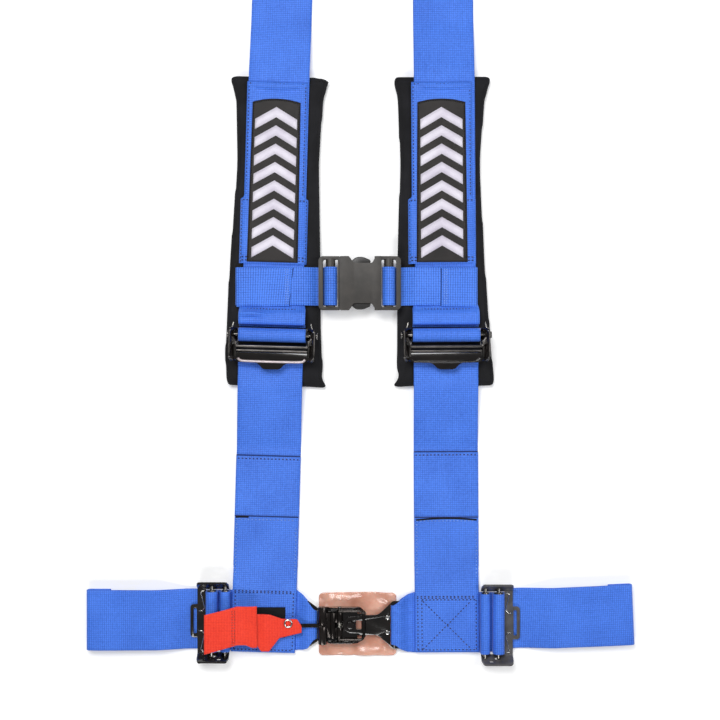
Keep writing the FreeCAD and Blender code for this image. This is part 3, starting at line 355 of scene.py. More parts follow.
def webbing(name, corners, width, place, along, material, columns=20, step=3.0, edges=None,
            lift=None):
    """A woven strap along a route in its own plane, with rounded edges and real thickness.

    along is "y" or "x": the direction of the route's first coordinate. edges(a, s) gives the
    two edges' places across the strap, and lift(s, w, a) raises it along its own normal.
    """
    path = rounded(corners, step)
    travelled = 0.0
    points = []
    uvs = []
    ring = 2 * columns + 2
    for index, here in enumerate(path):
        before = path[max(index - 1, 0)]
        after = path[min(index + 1, len(path) - 1)]
        tangent = (after - before).normalized()
        normal = Vector((-tangent.y, tangent.x))
        if index:
            travelled += (here - before).length
        low, high = edges(here.x, travelled) if edges else (-width / 2, width / 2)
        inset = min(0.55, (high - low) / 8)
        flat = high - low - 2 * inset
        stations = [low + inset + flat * number / (columns - 1) for number in range(columns)]
        section = [(low, 0.0)] + [(w, 0.5) for w in stations]
        section += [(high, 0.0)] + [(w, -0.5) for w in reversed(stations)]
        for w, level in section:
            raised = level * WEB
            if lift:
                raised += lift(travelled, w, here.x)
            spot = here + normal * raised
            local = (w, spot.x, spot.y) if along == "y" else (spot.x, w, spot.y)
            points.append(place @ Vector(local))
            uvs.append((w * MM, travelled * MM))
    faces = []
    for index in range(len(path) - 1):
        base = index * ring
        for number in range(ring):
            other = (number + 1) % ring
            faces.append((base + number, base + other, base + ring + other,
                          base + ring + number))
    for base in (0, (len(path) - 1) * ring):
        faces.append((base, base + 1, base + ring - 1))
        faces.append((base + columns, base + columns + 1, base + columns + 2))
        for number in range(1, columns):
            faces.append((base + number, base + number + 1,
                          base + ring - number - 1, base + ring - number))
    made = make(name, points, faces, material, uvs)
    tidy_normals(made)
    return made


def strap(name, corners, width, place, along, *nodes, material=BLUE, body="harness",
          slot="blue_webbing", **shape):
    """Webbing that rides on a body and stands for the CAD nodes named."""
    made = webbing(name, corners, width, place, along, material, **shape)
    attach(made, body, slot, *nodes)
    return made


def tidy_normals(piece):
    mesh = bmesh.new()
    mesh.from_mesh(piece.data)
    bmesh.ops.remove_doubles(mesh, verts=mesh.verts, dist=1e-7)
    bmesh.ops.recalc_face_normals(mesh, faces=mesh.faces)
    mesh.to_mesh(piece.data)
    mesh.free()


def read_off(a, spots):
    """The height at a, on straight lines between (place, height) spots."""
    places, heights = zip(*spots)
    return float(np.interp(a, places, heights))


class Stitches:
    """Gathers thread stitches and makes them one piece."""

    HALF_WIDTH = 0.75
    HEIGHT = 0.5
    WANDER = 0.15

    def __init__(self):
        self.points = []
        self.faces = []

    def one(self, start, end):
        """A double cone with a belly of two rings, four points each."""
        run = end - start
        side = run.cross(UP).normalized() * self.HALF_WIDTH
        top = UP * self.HEIGHT
        base = len(self.points)
        self.points += [start, end]
        for share, grow in ((0.22, 0.85), (0.5, 1.0), (0.78, 0.85)):
            middle = start + run * share
            self.points += [middle + side * grow, middle + top * grow,
                            middle - side * grow, middle - top * 0.6]
        for number in range(4):
            following = (number + 1) % 4
            for ring in (base + 2, base + 6):
                self.faces.append((ring + number, ring + following, ring + following + 4,
                                   ring + number + 4))
            self.faces.append((base, base + 2 + following, base + 2 + number))
            self.faces.append((base + 1, base + 10 + number, base + 10 + following))

    def row(self, place, stops, length=2.7, gap=1.9):
        """Stitches along a polyline of points."""
        stops = placed(place, stops)
        for here, following in zip(stops, stops[1:]):
            run = following - here
            way = run.normalized()
            side = way.cross(UP)
            done = 0.0
            while done + length <= run.length + 0.1:
                jitter = side * FIBRE.uniform(-self.WANDER, self.WANDER)
                first = here + way * done + jitter
                self.one(first, first + way * length)
                done += length + gap

    def piece(self, name, material, body="harness", slot="blue_webbing"):
        attach(make(name, self.points, self.faces, material), body, slot)


def refined(source, material, body, slot, width=0.5, segments=2, name=None):
    """A CAD shape with its sharp edges rolled over; a width of 0 keeps it as it is."""
    name = name or source + "_v"
    mesh = bmesh.new()
    mesh.from_mesh(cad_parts[source].data)
    bmesh.ops.remove_doubles(mesh, verts=mesh.verts, dist=2e-6)
    if width:
        bmesh.ops.dissolve_limit(mesh, angle_limit=math.radians(1.0), verts=mesh.verts,
                                 edges=mesh.edges)
    data = bpy.data.meshes.new(name)
    mesh.to_mesh(data)
    mesh.free()
    made = smooth_object(name, data, material)
    if width:
        roll = made.modifiers.new("Roll", "BEVEL")
        roll.width = width * MM
        roll.segments = segments
        roll.limit_method = "ANGLE"
        roll.angle_limit = math.radians(32)
        apply_modifiers(made)
    made.data.shade_smooth()
    made.data.set_sharp_from_angle(angle=math.radians(38))
    attach(made, body, slot, source)


def apply_modifiers(piece):
    graph = bpy.context.evaluated_depsgraph_get()
    data = bpy.data.meshes.new_from_object(piece.evaluated_get(graph))
    piece.modifiers.clear()
    old = piece.data
    piece.data = data
    bpy.data.meshes.remove(old)


def bead(name, stops, radius, material, body="harness", slot="blue_webbing", node=None,
         closed=False):
    """A round wire along 3-D points, in millimetres, as a mesh tube on a body."""
    curve = bpy.data.curves.new(name, "CURVE")
    curve.dimensions = "3D"
    curve.bevel_depth = radius * MM
    curve.bevel_resolution = 2
    curve.use_fill_caps = True
    spline = curve.splines.new("NURBS")
    spline.points.add(len(stops) - 1)
    for point, stop in zip(spline.points, stops):
        point.co = (stop[0] * MM, stop[1] * MM, stop[2] * MM, 1)
    spline.order_u = 3
    spline.use_endpoint_u = not closed
    spline.use_cyclic_u = closed
    spline.resolution_u = 6
    holder = linked(name, curve)
    graph = bpy.context.evaluated_depsgraph_get()
    data = bpy.data.meshes.new_from_object(holder.evaluated_get(graph))
    bpy.data.objects.remove(holder)
    attach(smooth_object(name, data, material), body, slot, *([node] if node else []))


def panel(name, bottom, top, half, level, place, material, thick=0.7, columns=24, rows=48,
          shift=0.0):
    """A flat piece of cloth from bottom to top(across), where across runs from -1 to 1.

    half(share) is its half-width at a share of its height, and level(x, y) its upper face.
    """
    points = []
    uvs = []
    for drop in (0.0, thick):
        for row in range(rows + 1):
            share = row / rows
            for column in range(columns + 1):
                across = 2 * column / columns - 1
                x = shift + across * half(share)
                y = bottom + share * (top(across) - bottom)
                points.append(place @ Vector((x, y, level(x, y) - drop)))
                uvs.append((x * MM, y * MM))
    faces = []
    wide = columns + 1
    layer = wide * (rows + 1)
    for row in range(rows):
        for column in range(columns):
            a = row * wide + column
            faces.append((a, a + 1, a + wide + 1, a + wide))
            faces.append((layer + a, layer + a + wide, layer + a + wide + 1, layer + a + 1))
    rim = list(range(columns))
    rim += [row * wide + columns for row in range(rows)]
    rim += [rows * wide + column for column in range(columns, 0, -1)]
    rim += [row * wide for row in range(rows, 0, -1)]
    for here, following in zip(rim, rim[1:] + rim[:1]):
        faces.append((here, layer + here, layer + following, following))
    made = make(name, points, faces, material, uvs)
    tidy_normals(made)
    return made


def ease(value, low, high):
    share = min(max((value - low) / (high - low), 0.0), 1.0)
    return share * share * (3 - 2 * share)


def side_place(side):
    middle, lean = SHOULDER[side]
    return at(middle, 0, lean)


def adjuster_place(side):
    bar, level = SHOULDER_BAR
    seat = Matrix.Translation((SHOULDER_SHIFT[side], bar, level))
    return side_place(side) @ seat @ Matrix.Rotation(math.pi, 4, "Z")


def lap_place(side, hand):
    return at(LAP_LOCK[side], LAP_Y[side], 90 * hand, 11.0)


# ---------- shoulder webbing
def shoulder_strap(side):
    """The strap from its bracket down over the pad, and its turn round the adjuster's bar."""
    route = [(785, 2.65), (802, 2.65, 3), (809, 8.85, 3), (815.95, 8.85, 3.9),
             (815.95, 0.95, 3.9), (740.5, 0.95, 60), (672.5, 14.85, 60), (392, 14.85, 10),
             (382.5, 24.5, 8), (368.9, 24.5, 3.5), (368.9, 13.0, 2), (365.8, 13.0)]
    phase = 0.0 if side == "left" else 1.7
    dip = 6.0 if side == "left" else 0.0
    middle = SHOULDER_SHIFT[side] * 0.4

    def lift(s, w, a):
        open_run = ease(a, 690, 720)
        wave = 0.5 * math.sin(a / 31 + phase) * (w / 36) + 0.4 * math.sin(a / 47 + w / 24)
        hump = ease(-a, -392, -384) * ease(a, 372.5, 379)
        hollow = dip * math.exp(-((w + 23) / 15) ** 2 - ((a - 381.0) / 3.0) ** 2)
        return -open_run * abs(wave) * 0.8 + hump * 1.6 * (1 - (w / 41) ** 2) - hollow

    def edges(a, s):
        half = 36.9 + 3.4 * (1 - ease(a, 386, 402))
        return (middle - half, middle + half)

    strap(f"shoulder_strap_{side}", route, 73.8, side_place(side), "y",
          f"shoulder_strap_{side}", edges=edges, lift=lift, step=2.0)
    wrap = [(-7.55, -5.4), (-7.55, 7.55, 7.4), (7.55, 7.55, 7.4),
            (7.55, -9.65, 2), (-1.5, -9.65)]
    strap(f"shoulder_strap_turn_{side}", wrap, 81.0, adjuster_place(side), "y",
          f"shoulder_adjuster_{side}_strap_wrap", body=f"shoulder_lock_{side}", step=1.5)


def lower_strap(side):
    """The strap from the adjuster down to the lap belt, with its doubler and overlay."""
    route = [(318, 15.85), (322, 15.85, 3), (326.5, 22.25, 3), (334.05, 22.25, 3.9),
             (334.05, 14.15, 3.9), (295, 14.15, 40), (220, 0.95, 40), (72, 0.95, 30),
             (46, 4.55, 30), (-30.5, 4.55)]
    place = side_place(side)
    doubler_top = DOUBLER_TOP[side]
    top = OVERLAY_TOP[side]

    def lift(s, w, a):
        slack = ease(a, 215, 235) * ease(-a, -300, -280)
        return -slack * (0.5 + 0.5 * math.sin(a / 17 + w / 19)) * 0.9

    def crown(s, w, a):
        bulge = 0.7 * math.sin(math.pi * min(max((top - a) / 62, 0), 1))
        return bulge * (1 - (w / 40) ** 2)

    made = webbing(f"lower_strap_{side}", route, 78.5, place, "y", BLUE, lift=lift, step=2.4)
    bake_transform(made)
    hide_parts(f"lower_strap_{side}", f"lower_strap_loop_{side}")
    strap(f"lower_strap_doubler_{side}", [(doubler_top, 2.6), (74, 2.6)], 78.9, place, "y")
    over = [(top, 4.3), (72, 4.3, 30), (46, 6.35, 30), (-30.5, 6.35)]
    strap(f"junction_overlay_{side}", over, 77.8, place, "y", f"junction_overlay_{side}",
          lift=crown)
    # Dark beads along the doubler's and overlay's top edges: the ply edges, with their shadow
    # lines as painted shade.
    for label, y, level, half in (("upper", doubler_top + 0.3, 2.9, 39.2),
                                  ("lower", top + 0.3, 4.6, 38.6)):
        stops = [(x, y, level) for x in (-half, -half / 2, 0, half / 2, half)]
        bead(f"edge_shade_line_{label}_{side}", placed(place, stops), 0.75, THREAD_DARK)
    # A near-black tube of painted shadow fills the dark gap under the overlay's open top edge.
    if side == "left":
        gap = ((-38, 133.2), (-30, 134.0), (-22, 133.6))
    else:
        gap = ((-37, 130.6), (-20, 132.2), (0, 132.8), (20, 132.2), (37, 130.6))
    bead(f"open_edge_{side}", placed(place, [(x, y, 5.0) for x, y in gap]), 1.1, THREAD_BLACK)


def shoulder_stitching(side):
    """Seams of the lower strap, with a crossed box on the right, and of the sleeve."""
    place = side_place(side)
    dark = Stitches()
    light = Stitches()
    sewn = Stitches()

    def across(thread, y, z, low, high, gap=1.9):
        thread.row(place, [(low, y, z), (high, y, z)], 2.6, gap)

    def along(thread, x, low, high, z, gap=1.9):
        thread.row(place, [(x, low, z), (x, high, z)], 2.6, gap)

    overlay = 7.2                # height of the seams on the overlay
    across(dark, DOUBLER_TOP[side] - 3.6, 3.55, -37.5, 37.5)
    across(light, 130.8 if side == "left" else 129.5, 5.3, -37, 37)
    top = 44 if side == "left" else 37.5
    for lane in (0, 1.9):
        across(dark, top - lane, overlay, -37, 37)
    across(dark, -27.5, overlay, -36, 36)
    for lane in (-35.5, 35.5):
        along(dark, lane, -27.5, top, overlay)
        along(light, lane * 1.02, 47, 126, 5.6)
    if side == "right":
        for start, end in ((32, -27), (-27, 32)):
            dark.row(place, [(-29.5, start, overlay), (29.5, end, overlay)])
        along(dark, -30.5, -27.5, 34, overlay)
        across(dark, 33.5, overlay, -31, 36)
    dark.piece(f"lower_stitching_{side}", THREAD_DARK)
    light.piece(f"lower_stitching_light_{side}", THREAD_BLUE)
    shift = SLEEVE_SHIFT[side]
    for half, low, high in ((39.0, 444, 521), (34.4, 526, 660)):
        for way in (-1, 1):
            level = 17.15 - sleeve_drop(way * half, low)
            along(sewn, shift + way * half, low, high, level, 1.7)
    for y, half, gap in ((446.5, 38, 1.7), (450.5, 38, 1.7), (519.5, 38.5, 1.7),
                         (660.5, 34, 1.9)):
        across(sewn, y, 17.2, shift - half, shift + half, gap)
    sewn.piece(f"sleeve_stitching_{side}", THREAD_DARK)


def sleeve_drop(x, y):
    """How far the sleeve's edge falls towards the pad it is sewn to."""
    low_part = 1 - ease(y, 519, 524)
    return low_part * 3.2 * ease(abs(x), 36.0, 41.5) + 0.5 * ease(abs(x), 28, 37)


def sleeve_and_patch(side):
    """The sleeve sewn over the pad, with the dark patch and its print."""
    place = side_place(side)
    shift = SLEEVE_SHIFT[side]
    patch_shift = PATCH_SHIFT[side]
    phase = 0.4 if side == "left" else 2.1

    def half(share):
        y = SLEEVE_LOW + share * SLEEVE_LENGTH
        return 41.0 - 4.4 * ease(y, 521.0, 523.5)

    def level(x, y):
        soft = 0.35 * math.sin(y / 23 + phase) * math.sin(x / 15 + phase)
        fold_line = 652.0 + 2.5 * (x / 36) ** 2
        crease = math.exp(-((y - fold_line) / 2.2) ** 2) * (1 - ease(abs(x), 20, 32))
        ridge = math.exp(-((y - fold_line - 5) / 3.0) ** 2) * (1 - ease(abs(x), 22, 36))
        return 17.0 + soft - sleeve_drop(x - shift, y) - 1.5 * crease + 2.4 * ridge

    def patch_half(share):
        return 31.0 - 2.0 * share

    def patch_level(x, y):
        rim = max(abs(x - patch_shift) - 27.5, 0) / 3.5
        return level(x, y) + 0.95 - 0.45 * min(rim, 1.0) ** 2

    sleeve = panel(f"pad_sleeve_{side}", SLEEVE_LOW, lambda s: SLEEVE_LOW + SLEEVE_LENGTH, half,
                   level, place, BLUE, 1.0, 28, 96, shift)
    attach(sleeve, "harness", "blue_webbing", f"pad_sleeve_{side}")
    patch = panel(f"pad_patch_{side}", PATCH_LOW, lambda s: 638.0 + 4.4 * (1 - s * s),
                  patch_half, patch_level, place, PATCH, 0.7, 24, 80, patch_shift)
    attach(patch, "harness", "patch_satin", f"pad_patch_{side}")
    print_chevrons(side, place, patch_shift, patch_level)
    hem = Stitches()

    def sew_hem(outline):
        run = [(x, y, patch_level(x, y) + 0.02) for x, y in outline]
        hem.row(place, run, 1.9, 0.9)

    for way in (-1, 1):
        sew_hem([(patch_shift + way * (patch_half((y - PATCH_LOW) / 198) - 1.7), y)
                 for y in range(449, 636, 6)])
    shares = [number / 10 - 1 for number in range(21)]
    sew_hem([(patch_shift + share * 27.0, 636.4 + 4.2 * (1 - share * share))
             for share in shares])
    hem.piece(f"patch_hem_{side}", THREAD_BLACK, slot="patch_satin")


def print_chevrons(side, place, shift, level):
    """Pearl chevrons in a plain stack up the patch."""
    points = []
    faces = []
    for number in range(8):
        start = 449.5 + number * 22.2
        base = len(points)
        for step in range(17):
            across = step / 8 - 1
            x = shift + 25.5 * across
            foot = start + 15.0 * (1 - abs(across))
            for rise in (0.0, 6.2, 12.4):
                y = foot + rise
                points.append(place @ Vector((x, y, level(x, y) + 0.1)))
        for step in range(16):
            for row in (0, 1):
                a = base + step * 3 + row
                faces.append((a, a + 3, a + 4, a + 1))
    made = make(f"patch_chevrons_{side}", points, faces, PEARL)
    solid = made.modifiers.new("Thickness", "SOLIDIFY")
    solid.thickness = 0.12 * MM
    solid.offset = 0.0
    apply_modifiers(made)
    tidy_normals(made)
    attach(made, "harness", "patch_satin")


# ---------- pads
# Half-widths at PAD_HEIGHTS: on the side towards the middle, then on the outer side.
PAD_SHAPE = {
    "left": ((60.5, 54, 50.5, 56.5, 60, 66.5), (59, 51, 47, 53, 55.5, 53)),
    "right": ((61.5, 55.5, 53, 57.5, 58.5, 61), (57.5, 49, 42, 48, 55.5, 59)),
}
# At the inner bottom corner: reach of the tip, its drop, the pinch above, the swell above that.
PAD_FLARE = {"left": (5.6, 1.0, 2.4, 1.0), "right": (3.8, 1.2, 3.8, 0.0)}
PAD_HEIGHTS = (PAD_TOP, PAD_TOP - 26, PAD_TOP - 105, PAD_BOTTOM + 145, PAD_BOTTOM + 40,
               PAD_BOTTOM)
PAD_CORNERS = (3, 60, 250, 250, 80, 4)          # radii
PAD_MIDDLE = 6.0                                # height of the pad's seam
PUFF_FRAMES = 20
PUFF_LIMIT = 1.5
PUFF = {"quality": 5, "mass": 0.2, "tension_stiffness": 15, "compression_stiffness": 15,
        "shear_stiffness": 8, "bending_stiffness": 4, "use_pressure": True,
        "uniform_pressure_force": 4.0}


def pad_outline(side, hand):
    """The pad's edge as a dense closed polyline in the strap's own frame."""
    inner, outer = PAD_SHAPE[side]
    corners = []
    back = []
    for near, far, y, radius in zip(inner, outer, PAD_HEIGHTS, PAD_CORNERS):
        corners.append((-hand * near, y, radius))
        back.append((hand * far, y, radius))
    corners += reversed(back)
    start = ((corners[0][0] + corners[-1][0]) / 2, PAD_TOP)
    return rounded([start] + corners + [start], 4.0)


def flared(side, hand, x, y):
    """Pinch the pad above its inner bottom corner and draw the corner out to a tip."""
    tip, drop, pinch, fuller = PAD_FLARE[side]
    up = y - PAD_BOTTOM
    inward = PAD_SHAPE[side][0][-1] + hand * x
    near = math.exp(-(inward / 16) ** 2)
    out = tip * math.exp(-(up / 5) ** 2) - pinch * math.exp(-((up - 12) / 9) ** 2)
    out += fuller * math.exp(-((up - 46) / 18) ** 2)
    down = drop * math.exp(-(up / 6) ** 2 - ((inward - 3) / 11) ** 2)
    return x - hand * out * near, y - down


def pad(side, hand):
    """Foam pad puffed upward by a cloth simulation, with a sewn welt round its edge."""
    place = side_place(side)
    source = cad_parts[f"shoulder_pad_{side}"]
    made = smooth_object(f"shoulder_pad_cushion_{side}", source.data.copy(), PAD_CLOTH)
    made.data.transform(source.matrix_world)
    remesh = made.modifiers.new("Even", "REMESH")
    remesh.mode = "VOXEL"
    remesh.voxel_size = 0.004
    apply_modifiers(made)
    rest = np.array([vertex.co for vertex in made.data.vertices])
    cloth = made.modifiers.new("Puff", "CLOTH")
    for key, value in PUFF.items():
        setattr(cloth.settings, key, value)
    cloth.settings.effector_weights.gravity = 0.0
    cloth.point_cache.frame_start = 1
    cloth.point_cache.frame_end = PUFF_FRAMES
    for step in range(1, PUFF_FRAMES + 1):
        bpy.context.scene.frame_set(step)
    apply_modifiers(made)
    bpy.context.scene.frame_set(1)
    puffed = np.array([vertex.co for vertex in made.data.vertices])
    moved = np.clip(puffed[:, 2] - rest[:, 2], -PUFF_LIMIT * MM, PUFF_LIMIT * MM)
    for vertex, spot, rise in zip(made.data.vertices, rest, moved):
        vertex.co = (spot[0], spot[1], spot[2] + rise)
    finer = made.modifiers.new("Finer", "SUBSURF")
    finer.levels = 1
    finer.render_levels = 1
    apply_modifiers(made)
    welt_profile(made, side, hand, place)
    made.data.shade_smooth()
    attach(made, "harness", "pad_cloth", f"shoulder_pad_{side}")
    pad_stitching(side, hand, place)


def pad_stitching(side, hand, place):
    """Thread along the welt, left out where the outline turns at the pad's ends."""
    edge = pad_outline(side, hand)
    ring = []
    area = sum(a.x * b.y - a.y * b.x for a, b in zip(edge, edge[1:]))
    turn = 1 if area > 0 else -1
    for here, following in zip(edge, edge[1:]):
        way = (following - here).normalized()
        spot = here + Vector((-way.y, way.x)) * (3.4 * turn)
        clear = min(abs(spot.y - PAD_TOP), abs(spot.y - PAD_BOTTOM))
        if clear < 3.0 and (here.y not in (PAD_TOP, PAD_BOTTOM)):
            continue
        ring.append((*flared(side, hand, spot.x, spot.y), 8.3))
    stitching = Stitches()
    stitching.row(place, ring, 2.4, 1.2)
    stitching.piece(f"pad_welt_stitching_{side}", THREAD_BLACK, slot="pad_cloth")


def welt_profile(made, side, hand, place):
    """Flatten the pad's rim to a sewn welt and round the foam behind it."""
    back = place.inverted()
    edge = np.array([tuple(spot) for spot in pad_outline(side, hand)])
    starts = edge[:-1]
    runs = edge[1:] - edge[:-1]
    lengths = np.maximum((runs ** 2).sum(axis=1), 1e-9)
    for vertex in made.data.vertices:
        spot = back @ (vertex.co / MM)
        flat = np.array((spot.x, spot.y))
        share = np.clip(((flat - starts) * runs).sum(axis=1) / lengths, 0, 1)
        near = starts + runs * share[:, None]
        gaps = ((near - flat) ** 2).sum(axis=1)
        closest = near[gaps.argmin()]
        distance = float(math.sqrt(gaps.min()))
        if 1e-6 < distance < 5.0:
            flat = flat + (closest - flat) / distance * 1.1 * (1 - distance / 5.0)
        scale = 0.40 + 0.60 * ease(distance, 3.2, 15.0) ** 0.7
        if 2.6 < distance < 4.4:
            scale -= 0.07
        z = PAD_MIDDLE + (spot.z - PAD_MIDDLE) * scale
        dimple = 0.5 * noise.noise(Vector((spot.x / 26, spot.y / 34, hand * 3.0)))
        top = 12.1 if abs(spot.x) < 42 else 12.9        # lower under the webbing
        if spot.z > PAD_MIDDLE:
            z += dimple * ease(distance, 4, 12)
        z = min(max(z, 0.0), top)
        x, y = flared(side, hand, flat[0], flat[1])
        vertex.co = (place @ Vector((x, y, z))) * MM


# ---------- lap webbing
def lap_belt(side, hand):
    """The lap strap, its bracket's loop beneath, and its turn round the adjuster's bar."""
    place = at(LAP_LOCK[side], BELT_Y[side], BELT_LEAN[side])
    outward = LAP_FOLD - abs(LAP_LOCK[side])
    fold = outward * hand
    route = [(11.5 * hand, 2.65), (30 * hand, 2.65, 30), (66 * hand, 13.5, 30),
             (fold, 13.5, 4.45), (fold, 4.4, 4.45), ((outward - 28) * hand, 4.4)]

    def lift(s, w, a):
        run = ease(abs(a), 40, 70) * (1 - ease(abs(a), outward - 12, outward - 4))
        return -hand * run * 0.45 * math.sin(a / 21 + w / 26)

    strap(f"lap_strap_{side}", route, 73.5, place, "x", f"lap_strap_{side}", lift=lift)
    eye = (outward - 42) * hand
    tip = eye - 3.95 * hand
    route = [(eye + 40 * hand, 0.95), (tip, 0.95, 3.85), (tip, 8.85, 3.85),
             (eye + 4 * hand, 8.85, 3), (eye + 12 * hand, 2.65, 3), (eye + 38 * hand, 2.65)]
    strap(f"anchor_webbing_{side}", route, 50.0, place, "x", f"anchor_webbing_{side}")
    sewn = Stitches()
    for lane in (18, 22, 34):
        x = eye + lane * hand
        sewn.row(place, [(x, -22, 3.5), (x, 22, 3.5)])
    sewn.piece(f"anchor_stitching_{side}", THREAD_DARK)
    wrap = [(-11.5, -8.35), (-6.45, -5.6, 3), (-6.45, 6.45, 6.35), (6.45, 6.45, 6.35),
            (6.45, -8.3, 2), (-1.5, -8.3)]
    strap(f"lap_strap_turn_{side}", wrap, 73.5, lap_place(side, hand), "y",
          f"lap_adjuster_{side}_strap_wrap", body=f"lap_lock_{side}", step=1.5)
    strap(f"lap_strap_tail_{side}", [(-11.0, -10.05), (10.0, -10.05)], 73.0,
          lap_place(side, hand), "y")


def buckle_webbing(side, hand):
    """The short strap from the lap adjuster, gathered towards the latch or the link."""
    bar = LAP_LOCK[side] - LAP_SPACING * hand
    outer = bar + 5.25 * hand
    inner = bar - 5.25 * hand
    if side == "left":
        end, middle, reach = -59.0, 4.3, 6.2
        lower = ((-77.5, -36.75), (-70, -36), (-64, -34), (-57, -24), (-52, -21.5))
        upper = ((-77.5, 36.75), (-70, 31), (-64, 24), (-57, 14.5), (-52, 11.5))
    else:
        end, middle, reach = 43.6, 7.0, 5.4
        lower = ((40, -26.2), (44, -27), (50, -32), (58, -36), (66, -36.75))
        upper = ((40, 21.8), (44, 24), (50, 29), (58, 34), (66, 36.75))
    tip = end - reach * hand
    route = [(105 * hand, 0.95), (outer, 0.95, 4), (outer, 16.25, 5.15), (inner, 16.25, 5.15),
             (inner, 2.65, 1.4), (end + 16 * hand, 2.65, 10),
             (end + 5 * hand, middle + 3.55, 5), (tip, middle + 3.55, 3.45),
             (tip, middle - 3.55, 3.45), (end + 5 * hand, middle - 3.55, 5),
             (end + 16 * hand, 0.95, 10), (103 * hand, 0.95)]

    def edges(a, s):
        return (read_off(a, lower), read_off(a, upper))

    def lift(s, w, a):
        near = 1 - ease(abs(a - end), 4, 26)
        return near * 0.15 * math.sin(w * 0.42)

    strap(f"buckle_strap_{side}", route, 73.5, at(0, LAP_Y[side]), "x",
          f"buckle_strap_{side}", edges=edges, lift=lift, columns=36, step=2.0)


# ---------- sternum strap
def sternum(side, hand):
    """Half of the sternum strap: its loop round the shoulder strap and its ladder end."""
    place = at(0, STERNUM_Y)
    if side == "left":
        fold, finish, skew = -150.2, -83.5, 2.5
    else:
        fold, finish, skew = 141.9, 98.6, 0.0
    ladder = -0.4 + 35.2 * hand
    edge = -0.4 + 52.8 * hand
    turn = 1.775
    route = [(fold - 84 * hand, 12.95), (fold, 12.95, turn), (fold, 16.7, turn),
             (edge + 14 * hand, 18.6, 12), (edge, 13.1, 5), (ladder + 7.25 * hand, 13.1, 2),
             (ladder + 7.25 * hand, 26.45, 7.15), (ladder - 7.25 * hand, 26.45, 7.15),
             (ladder - 7.25 * hand, 11.3, 2), (ladder + 7.6 * hand, 11.3)]

    def lift(s, w, a):
        over = ease(abs(a), 62, 74) * (1 - ease(abs(a), abs(fold) - 8, abs(fold)))
        upper = 1 if s > 86 else 0
        return -hand * upper * over * (0.6 * math.cos(w / 15) + 0.25 * math.sin(a / 9))

    strap(f"sternum_strap_{side}", route, 46.5, place, "x", f"sternum_strap_{side}",
          material=BLUE_FINE, lift=lift, step=1.6, columns=24)
    spot = place @ Matrix.Rotation(math.radians(-0.6 * hand), 4, "Z")
    doubler = strap(f"sternum_doubler_{side}", [(fold - 0.4 * hand, 18.4), (finish, 18.9)],
                    46.7, spot, "x", material=BLUE_FINE, step=2.0, columns=24)
    for vertex in doubler.data.vertices:
        local = spot.inverted() @ (vertex.co / MM)
        reach = ease(-hand * (local.x - fold), 0, 55)
        local.x += -hand * reach * skew * local.y / 23
        bend = 1.3 * ease(hand * (local.x - fold), -5, 0)
        local.z -= bend
        vertex.co = (spot @ local) * MM
    # A dark bead along the doubler's end: the ply's edge, with its shadow line as painted shade.
    stops = [(finish - 0.3 * hand - hand * skew * y / 23, y, 18.9)
             for y in (-23, -11, 0, 11, 23)]
    bead(f"sternum_sealed_edge_{side}", placed(spot, stops), 0.6, THREAD_DARK)
    sewn = Stitches()
    for lane in (3.6, 6.2):
        x = finish + lane * hand
        sewn.row(place, [(x, -21.5, 19.75), (x, 21.5, 19.75)], 1.8, 1.1)
    sewn.piece(f"sternum_stitching_{side}", THREAD_BLUE)
    keeper = Stitches()
    for y, half in ((384.6, 34), (387.6, 30)):
        keeper.row(side_place(side), [(-half, y, 19.5), (half, y, 19.5)], 2.2, 1.6)
    keeper.piece(f"keeper_stitching_{side}", THREAD_DARK)


# ---------- tab, guard, hook tape
def pull_tab():
    """The red tab on the release lever: two plies, cut to shape, with a stitched fold."""
    place = at(0, 0)
    top = ((-186.5, 20), (-147.7, 29.8), (-129.5, 28.5), (-126, 18.5), (-109.5, 16.9),
           (-95, 11.6), (-76.5, 11.2), (-70.5, 2))
    low = ((-186.5, -27.5), (-147.7, -16.9), (-126, -17), (-120, -27.5), (-110.5, -28),
           (-98, -12), (-71, -5.5))

    def edges(a, s):
        return (read_off(a, low), read_off(a, top))

    upper = [(-187, 32.2), (-160, 31.6, 30), (-140, 28.2, 12), (-124.5, 21.8)]

    def upper_edges(a, s):
        share = ease(a, -140, -128)
        bottom, ceiling = edges(min(a, -130), s)
        return (bottom - 4.5 * share, ceiling)

    def wave(s, w, a):
        return 0.7 * math.sin(a / 13 + w / 11) * ease(s, 3, 16)

    red = {"material": RED, "body": "release_lever", "slot": "red_webbing", "step": 1.8,
           "columns": 24}
    strap("pull_tab_flap", upper, 46, place, "x", edges=upper_edges, lift=wave, **red)
    route = [(-183, 30.2), (-160, 29.4, 30), (-138, 24.6, 12), (-116, 14.6, 12),
             (-98, 12.8, 8), (-71, 12.8)]

    def lower_edges(a, s):
        bottom, ceiling = edges(a, s)
        trim = 1.2 * (1 - ease(a, -132, -124))
        return (bottom + trim, ceiling - trim)

    strap("pull_tab", route, 46, place, "x", "pull_tab", edges=lower_edges, **red)
    sewn = Stitches()
    for lane in (-153.5, -150.5):
        sewn.row(place, [(lane, -16.5, 32.2), (lane, 27.5, 32.2)], 2.2, 1.1)
    sewn.piece("pull_tab_stitching", THREAD_RED, "release_lever", "red_webbing")


